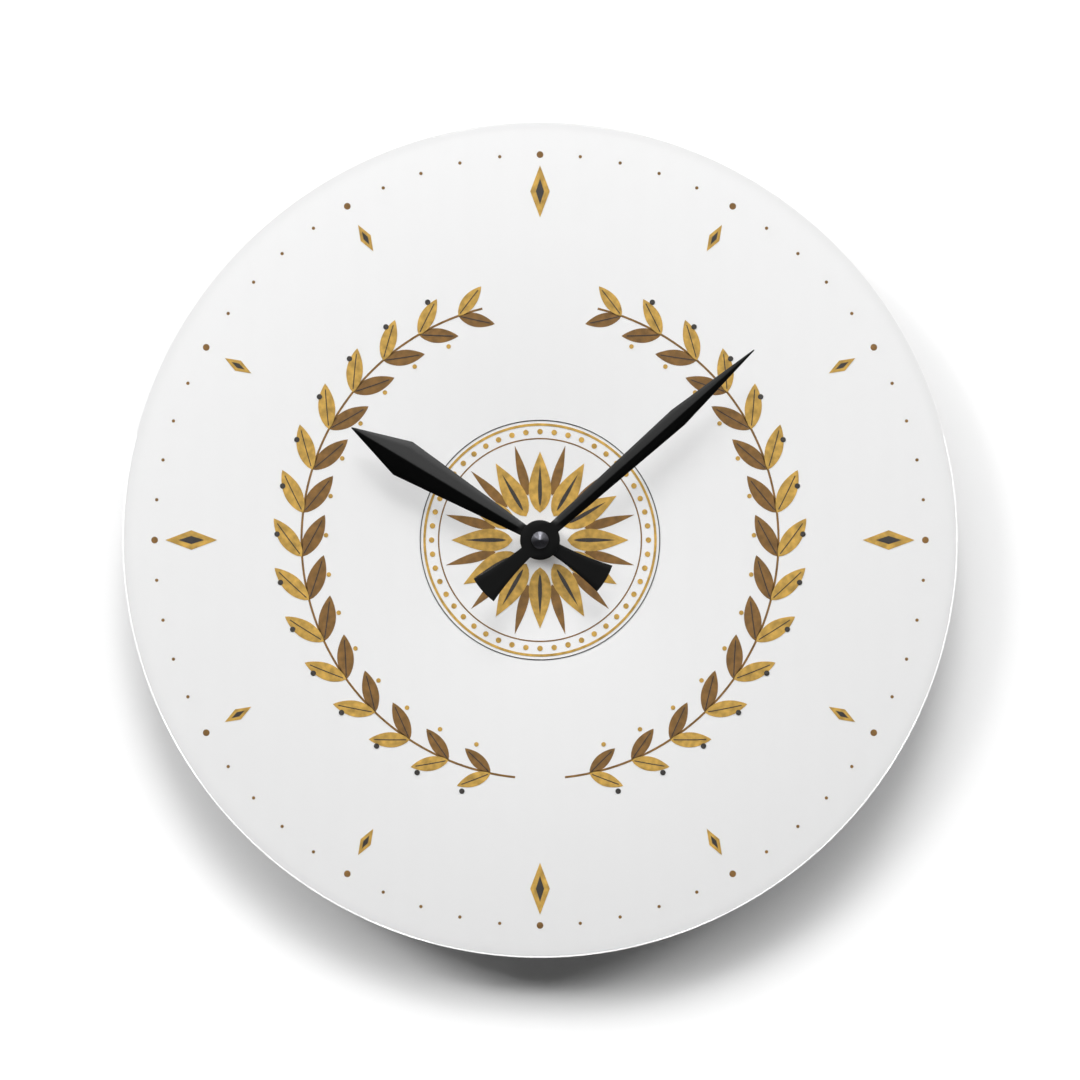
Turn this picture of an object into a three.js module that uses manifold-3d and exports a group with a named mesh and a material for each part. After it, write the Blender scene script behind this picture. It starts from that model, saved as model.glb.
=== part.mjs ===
// Acrylic wall clock: a round clear dial printed on its back, a pair of folded sheet-metal hands, and
// the battery-driven quartz movement behind it. Millimetres. The clock is laid out face up, with X to
// the right, Y up the dial and Z out of the wall, and stands up at the end: front to -Y, top to +Z.
// The origin is the point of the wall behind the middle of the dial.
import * as THREE from "three";
import { mergeVertices } from "three/addons/utils/BufferGeometryUtils.js";
import Module from "manifold-3d";

const wasm = await Module();
wasm.setup();

// Dial
const DIAL_DIAMETER = 273;
const DIAL_THICKNESS = 3;
const DIAL_CHAMFER = 0.6;
const PRINT_THICKNESS = 0.2;
const PRINT_MARGIN = 0.2; // bare rim round the print
const INK_ROOM = 0.15; // room for the coloured inks between the white coat and the acrylic

// Hands, measured from their axis
const HOUR_REACH = 71.4;
const HOUR_SHOULDER_AT = 52;
const HOUR_SHOULDER_WIDTH = 12.5;
const HOUR_NECK_WIDTH = 3.9;
const MINUTE_REACH = 93;
const MINUTE_SHOULDER_AT = 60;
const MINUTE_SHOULDER_WIDTH = 6.55;
const MINUTE_NECK_WIDTH = 3.95;
const HAND_TIP_WIDTH = 0.4;
const HAND_SHEET = 0.5;
const HAND_FOLD_DEG = 15; // slope of each half of the lance
const HAND_FOLD_RUN = 2.5; // length past the hub over which the fold grows
const HAND_HUB_DIAMETER = 13;
const HAND_SPACING = 1.4; // free height between the two hands' hubs
const TAIL_REACH = 25;
const TAIL_NECK_WIDTH = 4;
const TAIL_WAIST_WIDTH = 4.7; // width that draws the tail's sides in halfway
const TAIL_END_WIDTH = 9.9;
const HOUR_HAND_DEG = 300.8; // clockwise from twelve
const MINUTE_HAND_DEG = 48.4;

// Cap nut and the fastening through the dial
const CAP_DIAMETER = 5.6;
const CAP_SKIRT = 1.6;
const CAP_CONE = 1.7;
const CAP_ROUND = 0.45; // height of the eased rim under the cone
const CAP_BORE_DEPTH = 1.9;
const KEY_LENGTH = 2.2; // flatted tip of the minute arbor
const KEY_FLAT = 2.1; // width over the flats
const BUSH_DIAMETER = 7.8;
const BUSH_PROUD = 0.6; // thread that shows in front of the nut
const NUT_ACROSS_FLATS = 10.4;
const NUT_THICKNESS = 2;
const WASHER_DIAMETER = 12.2;
const WASHER_THICKNESS = 0.4;
const RUBBER_DIAMETER = 20;
const RUBBER_THICKNESS = 1;
const COLLET_DIAMETER = 8;
const COLLET_HEIGHT = 1.5;

// Hanger
const HANGER_WIDTH = 16;
const HANGER_SHEET = 0.8;
const HANGER_FOOT = 9; // strip below the bush
const HANGER_TAB_RISE = 17; // tab above the bend
const HANGER_WALL_GAP = 1; // tab in front of the wall
const NAIL_HEAD_DIAMETER = 8;
const NAIL_SHANK_WIDTH = 4.6;
const NAIL_SLOT_RISE = 4.5;
const NAIL_ABOVE_BEND = 6; // middle of the wide hole above the bend

// AA cell
const CELL_DIAMETER = 14.5;
const CELL_LENGTH = 50.5;
const CELL_NUB_DIAMETER = 5.4;
const CELL_NUB_LENGTH = 1.2;
const CELL_EDGE = 0.6;
const CELL_SUNK = 0.6; // cell in from the wall

// Case
const CASE_WALL = 1.5;
const CASE_CORNER = 3;
const COVER_THICKNESS = 1.5;
const COVER_LIP = 0.6;
const FRONT_WALL = 1.2;
const DIVIDER = 1.2; // wall between the train and the cell
const POST_DIAMETER = 3;
const POST_INSET = 4; // post from the inner wall
const STAKE_DIAMETER = 1.4; // pin on a post, through the train plate
const STAKE_PROUD = 0.3;

// Contacts
const CONTACT_STRIP = 0.4;
const CONTACT_WIDTH = 4;
const CONTACT_BOW = 6; // half length of the spring bow
const CONTACT_ROOM = 1.25; // room at each end of the cell

// Setting knob and its cup
const KNOB_DIAMETER = 12;
const KNOB_THICKNESS = 2.3;
const KNOB_SUNK = 0.8;
const KNOB_GRIPS = 24;
const KNOB_GRIP_DEPTH = 0.35;
const KNOB_FIN_WIDTH = 2;
const KNOB_FIN_HEIGHT = 0.5;
const KNOB_SOCKET_DEPTH = 1.3;
const CUP_WALL = 1;

// Train
const ROTOR_PINION_TEETH = 8;
const INTERMEDIATE_WHEEL_TEETH = 40;
const INTERMEDIATE_PINION_TEETH = 8;
const SECOND_WHEEL_TEETH = 48;
const SECOND_PINION_TEETH = 8;
const THIRD_WHEEL_TEETH = 64;
const THIRD_PINION_TEETH = 8;
const CENTRE_WHEEL_TEETH = 60;
const MINUTE_PINION_TEETH = 10;
const MINUTE_WHEEL_TEETH = 40;
const HOUR_PINION_TEETH = 12;
const HOUR_WHEEL_TEETH = 36;
const FAST_MODULE = 0.3; // rotor to second wheel
const CENTRE_MODULE = 0.3; // third pinion to centre wheel
const WHEEL_THICKNESS = 0.8;
const ARBOR_DIAMETER = 1.3;
const PIVOT_DIAMETER = 0.8;
const PIVOT_LENGTH = 0.8;
const BOSS_WALL = 0.6;
const BOSS_HEIGHT = 1;
const SECOND_TIP_DIAMETER = 0.9; // second arbor inside the minute arbor
const SECOND_TIP_SHORT = 6; // its end behind the minute hand's seat
const MINUTE_ARBOR_DIAMETER = 3;
const MINUTE_FLANGE_DIAMETER = 5.2;
const MINUTE_FLANGE = 0.4;
const HOUR_PIPE_DIAMETER = 5;
const SETTING_ARBOR_DIAMETER = 1.8;
const CLUTCH_DIAMETER = 8;
const CLUTCH_SHEET = 0.15;
const CLUTCH_RISE = 0.25;
const TRAIN_PLATE = 0.8;
const THIRD_DEG = 60; // where each arbor stands round the centre, from three o'clock
const INTERMEDIATE_DEG = -20;
const ROTOR_DEG = 0; // rotor round the intermediate wheel
const SETTING_DEG = 180;

// Motor and circuit
const MAGNET_DIAMETER = 6;
const MAGNET_HEIGHT = 2.2;
const STATOR_THICKNESS = 0.9;
const STATOR_RIM = 1.6; // iron round the magnet's hole
const STATOR_ARM = 3.2;
const STATOR_AIR_GAP = 0.4;
const CORE_WIDTH = 2.2;
const CORE_THICKNESS = 1;
const CORE_MIDDLE_X = 11;
const BOBBIN_LENGTH = 14;
const BOBBIN_FLANGE_DIAMETER = 7;
const BOBBIN_FLANGE = 0.8;
const BOBBIN_TUBE_DIAMETER = 3.6;
const WINDING_DIAMETER = 6.4;
const BOARD_WIDTH = 20;
const BOARD_HEIGHT = 14;
const BOARD_THICKNESS = 1;
const CHIP_DIAMETER = 6;
const CHIP_HEIGHT = 0.9;
const CRYSTAL_DIAMETER = 2;
const CRYSTAL_LENGTH = 6;

// Clearances
const SEAT = 0.05; // pieces clamped face to face
const SNUG = 0.1; // round pieces pressed on each other
const RUN = 0.15; // pieces turning in each other
const SHAKE = 0.2; // end play of an arbor
const FREE = 0.3; // pieces laid beside each other
const LAYER = 0.6; // between wheels that pass over each other

// Tooth forms in parts of the module, half widths in parts of the pitch
const WHEEL_TOOTH = { addendum: 0.85, dedendum: 1.15, tip: 0.09, root: 0.3 };
const PINION_TOOTH = { addendum: 0.75, dedendum: 1.2, tip: 0.1, root: 0.24 };

const DIAL_SIDES = 96;
const ROUND_SIDES = 32;
const SMALL_SIDES = 16;
const PIN_SIDES = 10;
const CURVE_SIDES = 6; // of each arc in a flat outline
const TURN = Math.PI * 2;
const MERGE = 1e-4;
const radians = THREE.MathUtils.degToRad;

// Finishes
const finish = (color, roughness, metalness = 0) =>
  new THREE.MeshStandardMaterial({ color, roughness, metalness });
const acrylic = finish("#f2f5f5", 0.05);
const whiteInk = finish("#f4f3f0", 0.6);
const blackPaint = finish("#222222", 0.45, 0.3);
const blackNickel = finish("#2b2b2d", 0.2, 1);
const brass = finish("#c8a24a", 0.3, 1);
const rubber = finish("#1b1b1b", 0.9);
const zincSteel = finish("#b9bcc0", 0.35, 1);
const blackPlastic = finish("#1d1e20", 0.55);
const whitePlastic = finish("#e8e6df", 0.5);
const iron = finish("#77797c", 0.4, 1);
const magnetGrey = finish("#4a4c50", 0.5, 0.6);
const copper = finish("#b5623a", 0.35, 1);
const boardGreen = finish("#2f5d3a", 0.6);
const epoxyBlack = finish("#141414", 0.5);
const cellWrap = finish("#3b3f45", 0.35, 0.2);

// A closed geometry as a solid that can be joined and cut
function solid(geometry) {
  const bare = geometry.clone();
  bare.deleteAttribute("normal");
  bare.deleteAttribute("uv");
  const merged = mergeVertices(bare, MERGE);
  const corners = merged.index.array;
  const kept = [];
  for (let i = 0; i < corners.length; i += 3) {
    const [a, b, c] = corners.slice(i, i + 3);
    if (a !== b && b !== c && c !== a) kept.push(a, b, c);
  }
  return new wasm.Manifold(
    new wasm.Mesh({
      numProp: 3,
      vertProperties: merged.attributes.position.array,
      triVerts: new Uint32Array(kept),
    }),
  );
}

// The geometry of a joined or cut solid
function geometryOf(made) {
  const mesh = made.getMesh();
  const geometry = new THREE.BufferGeometry();
  geometry.setAttribute("position", new THREE.BufferAttribute(mesh.vertProperties, 3));
  geometry.setIndex(new THREE.BufferAttribute(mesh.triVerts, 1));
  geometry.computeVertexNormals();
  return geometry;
}

const join = (...solids) => solids.reduce((whole, next) => whole.add(next));
const cut = (whole, ...tools) => tools.reduce((rest, tool) => rest.subtract(tool), whole);

// A profile of [radius, height] pairs turned about Z
function turned(profile, sides = SMALL_SIDES) {
  const points = profile.map(([radius, height]) => new THREE.Vector2(radius, height));
  return new THREE.LatheGeometry(points, sides).rotateX(Math.PI / 2);
}

function rod(diameter, back, front, at = [0, 0], sides = SMALL_SIDES) {
  const geometry = new THREE.CylinderGeometry(diameter / 2, diameter / 2, front - back, sides);
  geometry.rotateX(Math.PI / 2).translate(at[0], at[1], (back + front) / 2);
  return solid(geometry);
}

function tube(bore, diameter, back, front, sides = SMALL_SIDES) {
  const [inner, outer] = [bore / 2, diameter / 2];
  return turned([[inner, back], [outer, back], [outer, front], [inner, front], [inner, back]], sides);
}

function box([left, right], [bottom, top], [back, front]) {
  const geometry = new THREE.BoxGeometry(right - left, top - bottom, front - back);
  geometry.translate((left + right) / 2, (bottom + top) / 2, (back + front) / 2);
  return solid(geometry);
}

// A flat bar with round ends from one point to another
function bar(from, to, width, back, front) {
  const run = [to[0] - from[0], to[1] - from[1]];
  const geometry = new THREE.BoxGeometry(Math.hypot(run[0], run[1]), width, front - back);
  geometry.rotateZ(Math.atan2(run[1], run[0]));
  geometry.translate(from[0] + run[0] / 2, from[1] + run[1] / 2, (back + front) / 2);
  return join(solid(geometry), rod(width, back, front, from), rod(width, back, front, to));
}

function slab(shape, back, front) {
  const settings = { depth: front - back, bevelEnabled: false, curveSegments: CURVE_SIDES };
  return solid(new THREE.ExtrudeGeometry(shape, settings).translate(0, 0, back));
}

function roundedRect([left, right], [bottom, top], radius) {
  const shape = new THREE.Shape();
  shape.moveTo(left + radius, bottom);
  shape.absarc(right - radius, bottom + radius, radius, -Math.PI / 2, 0);
  shape.absarc(right - radius, top - radius, radius, 0, Math.PI / 2);
  shape.absarc(left + radius, top - radius, radius, Math.PI / 2, Math.PI);
  shape.absarc(left + radius, bottom + radius, radius, Math.PI, Math.PI * 1.5);
  shape.closePath();
  return shape;
}

const pitchRadius = (teeth, module) => (teeth * module) / 2;
const wheelTip = (teeth, module) => pitchRadius(teeth, module) + WHEEL_TOOTH.addendum * module;
const pairDistance = (a, b, module) => pitchRadius(a + b, module);
const polar = ([x, y], distance, deg) => [
  x + distance * Math.cos(radians(deg)),
  y + distance * Math.sin(radians(deg)),
];

// A toothed disc about the origin, with the middle of its first tooth at the phase angle
function toothed(teeth, module, form, phase, back, front) {
  const pitch = TURN / teeth;
  const tip = pitchRadius(teeth, module) + form.addendum * module;
  const root = pitchRadius(teeth, module) - form.dedendum * module;
  const corners = [[root, -form.root], [tip, -form.tip], [tip, form.tip], [root, form.root]];
  const points = [];
  for (let tooth = 0; tooth < teeth; tooth++) {
    for (const [radius, share] of corners) {
      const angle = phase + (tooth + share) * pitch;
      points.push(new THREE.Vector2(radius * Math.cos(angle), radius * Math.sin(angle)));
    }
  }
  return slab(new THREE.Shape(points), back, front);
}

// Phase of a wheel whose gap meets the tooth of a driver that stands the other way along the given angle
function meshedPhase(towards, driverTeeth, driverPhase, teeth) {
  const passed = ((towards - driverPhase) * driverTeeth) / TURN;
  return towards + Math.PI - ((0.5 - passed) * TURN) / teeth;
}

// Where the arbors stand, seen from the front
const axis = [0, 0];
const thirdDistance = pairDistance(THIRD_PINION_TEETH, CENTRE_WHEEL_TEETH, CENTRE_MODULE);
const thirdModule = (2 * thirdDistance) / (SECOND_PINION_TEETH + THIRD_WHEEL_TEETH);
const thirdAt = polar(axis, thirdDistance, THIRD_DEG);
const intermediateDistance = pairDistance(INTERMEDIATE_PINION_TEETH, SECOND_WHEEL_TEETH, FAST_MODULE);
const intermediateAt = polar(axis, intermediateDistance, INTERMEDIATE_DEG);
const rotorDistance = pairDistance(ROTOR_PINION_TEETH, INTERMEDIATE_WHEEL_TEETH, FAST_MODULE);
const rotorAt = polar(intermediateAt, rotorDistance, ROTOR_DEG);

// The setting arbor stands clear of the wheels it passes, and far enough out for its pinion's root
const thirdTip = wheelTip(THIRD_WHEEL_TEETH, thirdModule);
const centreTip = wheelTip(CENTRE_WHEEL_TEETH, CENTRE_MODULE);
const secondTip = wheelTip(SECOND_WHEEL_TEETH, FAST_MODULE);
const passedWheels = Math.max(centreTip, secondTip) + LAYER + SETTING_ARBOR_DIAMETER / 2;
const pinionRootShare = 1 - (2 * PINION_TOOTH.dedendum) / MINUTE_PINION_TEETH;
const motionTeeth = MINUTE_PINION_TEETH + MINUTE_WHEEL_TEETH;
const rootedPinion = (MINUTE_ARBOR_DIAMETER / 2 / pinionRootShare) * (motionTeeth / MINUTE_PINION_TEETH);
const settingDistance = Math.max(passedWheels, rootedPinion);
const settingAt = polar(axis, settingDistance, SETTING_DEG);
const minuteModule = (2 * settingDistance) / motionTeeth;
const hourModule = (2 * settingDistance) / (HOUR_PINION_TEETH + HOUR_WHEEL_TEETH);
const minuteWheelTip = wheelTip(MINUTE_WHEEL_TEETH, minuteModule);
const hourWheelTip = wheelTip(HOUR_WHEEL_TEETH, hourModule);

// Layers of the movement, from the wall to the front
const pivotBoss = COVER_THICKNESS + BOSS_HEIGHT;
const arborFoot = pivotBoss + SHAKE;
const knobFront = KNOB_SUNK + KNOB_THICKNESS;
const cupFloor = knobFront + FREE;
const cupFront = cupFloor + CUP_WALL;
const secondBack = Math.max(cupFront, arborFoot + WHEEL_THICKNESS + LAYER) + LAYER;
const secondFront = secondBack + WHEEL_THICKNESS;
const intermediateFront = secondBack - LAYER;
const intermediateBack = intermediateFront - WHEEL_THICKNESS;
const stators = [secondBack, secondBack + STATOR_THICKNESS];
const thirdBack = Math.max(secondFront + LAYER, stators[1] + FREE);
const thirdFront = thirdBack + WHEEL_THICKNESS;
const magnetBack = intermediateFront + FREE + SHAKE;
const magnetFront = magnetBack + MAGNET_HEIGHT;
const plateBack = Math.max(thirdFront + LAYER, magnetFront + LAYER);
const plateFront = plateBack + TRAIN_PLATE;
const flangeBack = plateFront + FREE;
const flangeFront = flangeBack + MINUTE_FLANGE;
const centreBack = flangeFront + SEAT;
const centreFront = centreBack + WHEEL_THICKNESS;
const clutchBack = centreFront + SEAT;
const clutchFront = clutchBack + CLUTCH_RISE + CLUTCH_SHEET;
const minutePinionBack = clutchFront + SEAT;
const minuteWheelBack = minutePinionBack + FREE;
const minuteWheelFront = minuteWheelBack + WHEEL_THICKNESS;
const minutePinionFront = minuteWheelFront + FREE;
const hourWheelBack = minutePinionFront + FREE;
const hourWheelFront = hourWheelBack + WHEEL_THICKNESS;
const hourPinionFront = hourWheelFront + FREE;
const cellFront = CELL_SUNK + CELL_DIAMETER;
const frontInner = Math.max(cellFront + FREE, hourPinionFront + SHAKE + PIVOT_LENGTH + FREE);
const caseFront = frontInner + FRONT_WALL;

// Pieces in front of the case
const hangerBack = caseFront + SEAT;
const hangerFront = hangerBack + HANGER_SHEET;
const rubberBack = hangerFront + SEAT;
const rubberFront = rubberBack + RUBBER_THICKNESS;
const printBack = rubberFront + SEAT;
const printFront = printBack + PRINT_THICKNESS;
const dialBack = printFront + INK_ROOM;
const dialFront = dialBack + DIAL_THICKNESS;
const washerBack = dialFront + SEAT;
const washerFront = washerBack + WASHER_THICKNESS;
const nutBack = washerFront + SEAT;
const nutFront = nutBack + NUT_THICKNESS;
const bushFront = nutFront + BUSH_PROUD;
const colletBack = bushFront + SHAKE;
const colletFront = colletBack + COLLET_HEIGHT;
const hourHandBack = colletFront + SEAT;
const hourHandFront = hourHandBack + HAND_SHEET;
const minuteSeat = hourHandFront + HAND_SPACING;
const minuteHandBack = minuteSeat + SEAT;
const minuteHandFront = minuteHandBack + HAND_SHEET;
const capBack = minuteHandFront + SEAT;

// Rooms of the case: the train above, the cell below
const lowestWheel = Math.max(
  centreTip,
  secondTip,
  hourWheelTip,
  minuteWheelTip - settingAt[1],
  wheelTip(INTERMEDIATE_WHEEL_TEETH, FAST_MODULE) - intermediateAt[1],
);
const dividerTop = -(lowestWheel + LAYER);
const dividerBottom = dividerTop - DIVIDER;
const cellY = dividerBottom - FREE - CELL_DIAMETER / 2;
const cellZ = CELL_SUNK + CELL_DIAMETER / 2;
const innerBottom = cellY - CELL_DIAMETER / 2 - FREE;
const coilY = thirdAt[1] + thirdTip + FREE + BOBBIN_FLANGE_DIAMETER / 2;
const contactGap = FREE / 2;
const innerTop = coilY + BOBBIN_FLANGE_DIAMETER / 2 + FREE + CONTACT_STRIP + contactGap;
const innerSide = CELL_LENGTH / 2 + CONTACT_ROOM;
const inner = [-innerSide, innerSide];
const outer = [-innerSide - CASE_WALL, innerSide + CASE_WALL];
const outerY = [innerBottom - CASE_WALL, innerTop + CASE_WALL];
const bayY = [innerBottom, dividerBottom];
const trainY = [dividerTop, innerTop];

// Contact strips stand against the side walls, level with the cell's axis
const contactOuter = innerSide - contactGap;
const contactInner = contactOuter - CONTACT_STRIP;
const contactZ = [cellZ - CONTACT_WIDTH / 2, cellZ + CONTACT_WIDTH / 2];
const cellRight = contactInner - FREE;
const cellLeft = cellRight - CELL_LENGTH;
const boardX = [FREE - contactInner, FREE - contactInner + BOARD_WIDTH];
const boardTop = innerTop - contactGap - CONTACT_STRIP - FREE;
const boardY = [boardTop - BOARD_HEIGHT, boardTop];
const boardZ = [stators[0], stators[0] + BOARD_THICKNESS];

// Motor
const coreBack = stators[1] + SEAT;
const coreFront = coreBack + CORE_THICKNESS;
const coilZ = (coreBack + coreFront) / 2;
const bobbinEnds = [CORE_MIDDLE_X - BOBBIN_LENGTH / 2, CORE_MIDDLE_X + BOBBIN_LENGTH / 2];
const coreEnds = [bobbinEnds[0] - FREE - STATOR_ARM, bobbinEnds[1] + FREE + STATOR_ARM];
const coreFeet = [
  [coreEnds[0] + STATOR_ARM / 2, coilY],
  [coreEnds[1] - STATOR_ARM / 2, coilY],
];

// Posts that carry the train plate
const posts = [
  [inner[0] + POST_INSET, innerTop - POST_INSET],
  [inner[0] + POST_INSET, dividerTop + POST_INSET],
  [inner[1] - POST_INSET, dividerTop + POST_INSET],
  [inner[1] - POST_INSET, coilY - BOBBIN_FLANGE_DIAMETER / 2 - POST_INSET],
];

const clock = new THREE.Group();
clock.rotation.x = Math.PI / 2;

function add(name, shape, material, place = axis, turnDeg = 0) {
  const geometry = shape.isBufferGeometry ? shape : geometryOf(shape);
  const mesh = new THREE.Mesh(geometry, material);
  mesh.name = name;
  mesh.position.set(place[0], place[1], 0);
  mesh.rotation.z = radians(turnDeg);
  clock.add(mesh);
}

// Dial: disc with a chamfer round its face, and the white coat behind it
function dialPlate() {
  const rim = DIAL_DIAMETER / 2;
  const bore = BUSH_DIAMETER / 2 + FREE;
  const profile = [
    [bore, dialBack],
    [rim, dialBack],
    [rim, dialFront - DIAL_CHAMFER],
    [rim - DIAL_CHAMFER, dialFront],
    [bore, dialFront],
    [bore, dialBack],
  ];
  return turned(profile, DIAL_SIDES);
}

const bushHole = BUSH_DIAMETER + 2 * FREE;
const printDiameter = DIAL_DIAMETER - 2 * PRINT_MARGIN;
add("dial_plate", dialPlate(), acrylic);
add("dial_print", tube(bushHole, printDiameter, printBack, printFront, DIAL_SIDES), whiteInk);

// Fastening through the dial
function hexNut() {
  const corner = NUT_ACROSS_FLATS / Math.sqrt(3);
  const points = [0, 1, 2, 3, 4, 5].map((side) => {
    const angle = (side * TURN) / 6;
    return new THREE.Vector2(corner * Math.cos(angle), corner * Math.sin(angle));
  });
  const blank = slab(new THREE.Shape(points), nutBack, nutFront);
  return cut(blank, rod(BUSH_DIAMETER + 2 * SNUG, nutBack - FREE, nutFront + FREE));
}

add("hex_nut", hexNut(), brass);
add("brass_washer", tube(bushHole, WASHER_DIAMETER, washerBack, washerFront), brass);
add("rubber_washer", tube(bushHole, RUBBER_DIAMETER, rubberBack, rubberFront, ROUND_SIDES), rubber);

// Hanger: a strip from the bush up the case, back over its top and up to a keyhole at the wall
const hangerBend = outerY[1] + FREE;
const tabBack = HANGER_WALL_GAP;
const tabFront = tabBack + HANGER_SHEET;
const tabTop = hangerBend + HANGER_TAB_RISE;
const nailY = hangerBend + NAIL_ABOVE_BEND;

function keyhole() {
  const shank = NAIL_SHANK_WIDTH / 2;
  const slotTop = nailY + NAIL_SLOT_RISE;
  const wide = rod(NAIL_HEAD_DIAMETER, tabBack - FREE, tabFront + FREE, [0, nailY]);
  const slot = box([-shank, shank], [nailY, slotTop], [tabBack - FREE, tabFront + FREE]);
  const end = rod(NAIL_SHANK_WIDTH, tabBack - FREE, tabFront + FREE, [0, slotTop]);
  return join(wide, slot, end);
}

function hanger() {
  const half = HANGER_WIDTH / 2;
  const corner = half / 2;
  const bendTop = hangerBend + HANGER_SHEET;
  const face = slab(roundedRect([-half, half], [-HANGER_FOOT, bendTop], corner), hangerBack, hangerFront);
  const squared = box([-half, half], [bendTop - half, bendTop], [hangerBack, hangerFront]);
  const shelf = box([-half, half], [hangerBend, bendTop], [tabBack, hangerFront]);
  const tab = slab(roundedRect([-half, half], [hangerBend, tabTop], corner), tabBack, tabFront);
  const foot = box([-half, half], [hangerBend, hangerBend + corner], [tabBack, tabFront]);
  const bushEye = rod(BUSH_DIAMETER + 2 * FREE, hangerBack - FREE, hangerFront + FREE);
  return cut(join(face, squared, shelf, tab, foot), bushEye, keyhole());
}

add("hanger", hanger(), zincSteel);

// Pivot holes and bosses
const pivotHole = PIVOT_DIAMETER + 2 * SNUG;
const bossDiameter = pivotHole + 2 * BOSS_WALL;
const settingHole = SETTING_ARBOR_DIAMETER + 2 * SHAKE;
const thirdPinionFront = centreFront + FREE;

function frontBoss(at, back) {
  return rod(bossDiameter, back, frontInner + FRONT_WALL / 2, at);
}

function frontPivotHole(at, back) {
  return rod(pivotHole, back - FREE, back + PIVOT_LENGTH + SHAKE, at, PIN_SIDES);
}

// Front shell: tray with the bay wall, the threaded bush, the posts and two pivot bosses
function caseFrontShell() {
  const back = COVER_THICKNESS + SEAT;
  const shell = slab(roundedRect(outer, outerY, CASE_CORNER), back, caseFront);
  const trainRoom = box(inner, trainY, [back - FREE, frontInner]);
  const cellRoom = box(inner, bayY, [back - FREE, frontInner]);
  const slotY = [dividerBottom - FREE, dividerTop + FREE];
  const slotZ = [contactZ[0] - FREE, contactZ[1] + FREE];
  const leftSlot = box([-innerSide, FREE - contactInner], slotY, slotZ);
  const rightSlot = box([contactInner - FREE, innerSide], slotY, slotZ);
  const tray = cut(shell, trainRoom, cellRoom, leftSlot, rightSlot);
  const bush = rod(BUSH_DIAMETER, frontInner, bushFront, axis, ROUND_SIDES);
  const stands = posts.map((at) => rod(POST_DIAMETER, plateFront + SEAT, frontInner + FRONT_WALL / 2, at));
  const stakes = posts.map((at) => rod(STAKE_DIAMETER, plateBack - STAKE_PROUD, frontInner, at, PIN_SIDES));
  const thirdBossBack = thirdPinionFront + SHAKE;
  const settingBossBack = hourPinionFront + SHAKE;
  const bosses = [frontBoss(thirdAt, thirdBossBack), frontBoss(settingAt, settingBossBack)];
  const holes = [frontPivotHole(thirdAt, thirdBossBack), frontPivotHole(settingAt, settingBossBack)];
  const bore = rod(HOUR_PIPE_DIAMETER + 2 * RUN, frontInner - FREE, bushFront + FREE, axis, ROUND_SIDES);
  return cut(join(tray, bush, ...stands, ...stakes, ...bosses), bore, ...holes);
}

add("case_front", caseFrontShell(), blackPlastic);

// Rear cover: plate with the bay opening, the cup of the setting knob and the rear pivot bosses
function caseBackCover() {
  const plate = slab(roundedRect(outer, outerY, CASE_CORNER), 0, COVER_THICKNESS);
  const lipX = [inner[0] + FREE, inner[1] - FREE];
  const lipY = [trainY[0] + FREE, trainY[1] - FREE];
  const lipZ = [COVER_THICKNESS / 2, COVER_THICKNESS + COVER_LIP];
  const lipOuter = box(lipX, lipY, lipZ);
  const lipInner = box(
    [lipX[0] + CASE_WALL, lipX[1] - CASE_WALL],
    [lipY[0] + CASE_WALL, lipY[1] - CASE_WALL],
    [COVER_THICKNESS, lipZ[1] + FREE],
  );
  const cupBore = KNOB_DIAMETER + 2 * LAYER;
  const cupBody = rod(cupBore + 2 * CUP_WALL, COVER_THICKNESS / 2, cupFront, settingAt, ROUND_SIDES);
  const arbors = [axis, intermediateAt, rotorAt, thirdAt];
  const bosses = arbors.map((at) => rod(bossDiameter, COVER_THICKNESS / 2, pivotBoss, at));
  const holeBack = pivotBoss - PIVOT_LENGTH - SHAKE;
  const holes = arbors.map((at) => rod(pivotHole, holeBack, pivotBoss + FREE, at, PIN_SIDES));
  const whole = join(plate, cut(lipOuter, lipInner), cupBody, ...bosses);
  const bay = box([inner[0] + FREE, inner[1] - FREE], bayY, [-FREE, COVER_THICKNESS + FREE]);
  const cup = rod(cupBore, -FREE, cupFloor, settingAt, ROUND_SIDES);
  const arborHole = rod(settingHole, 0, cupFront + FREE, settingAt);
  return cut(whole, bay, cup, arborHole, ...holes);
}

add("case_back", caseBackCover(), blackPlastic);

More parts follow.
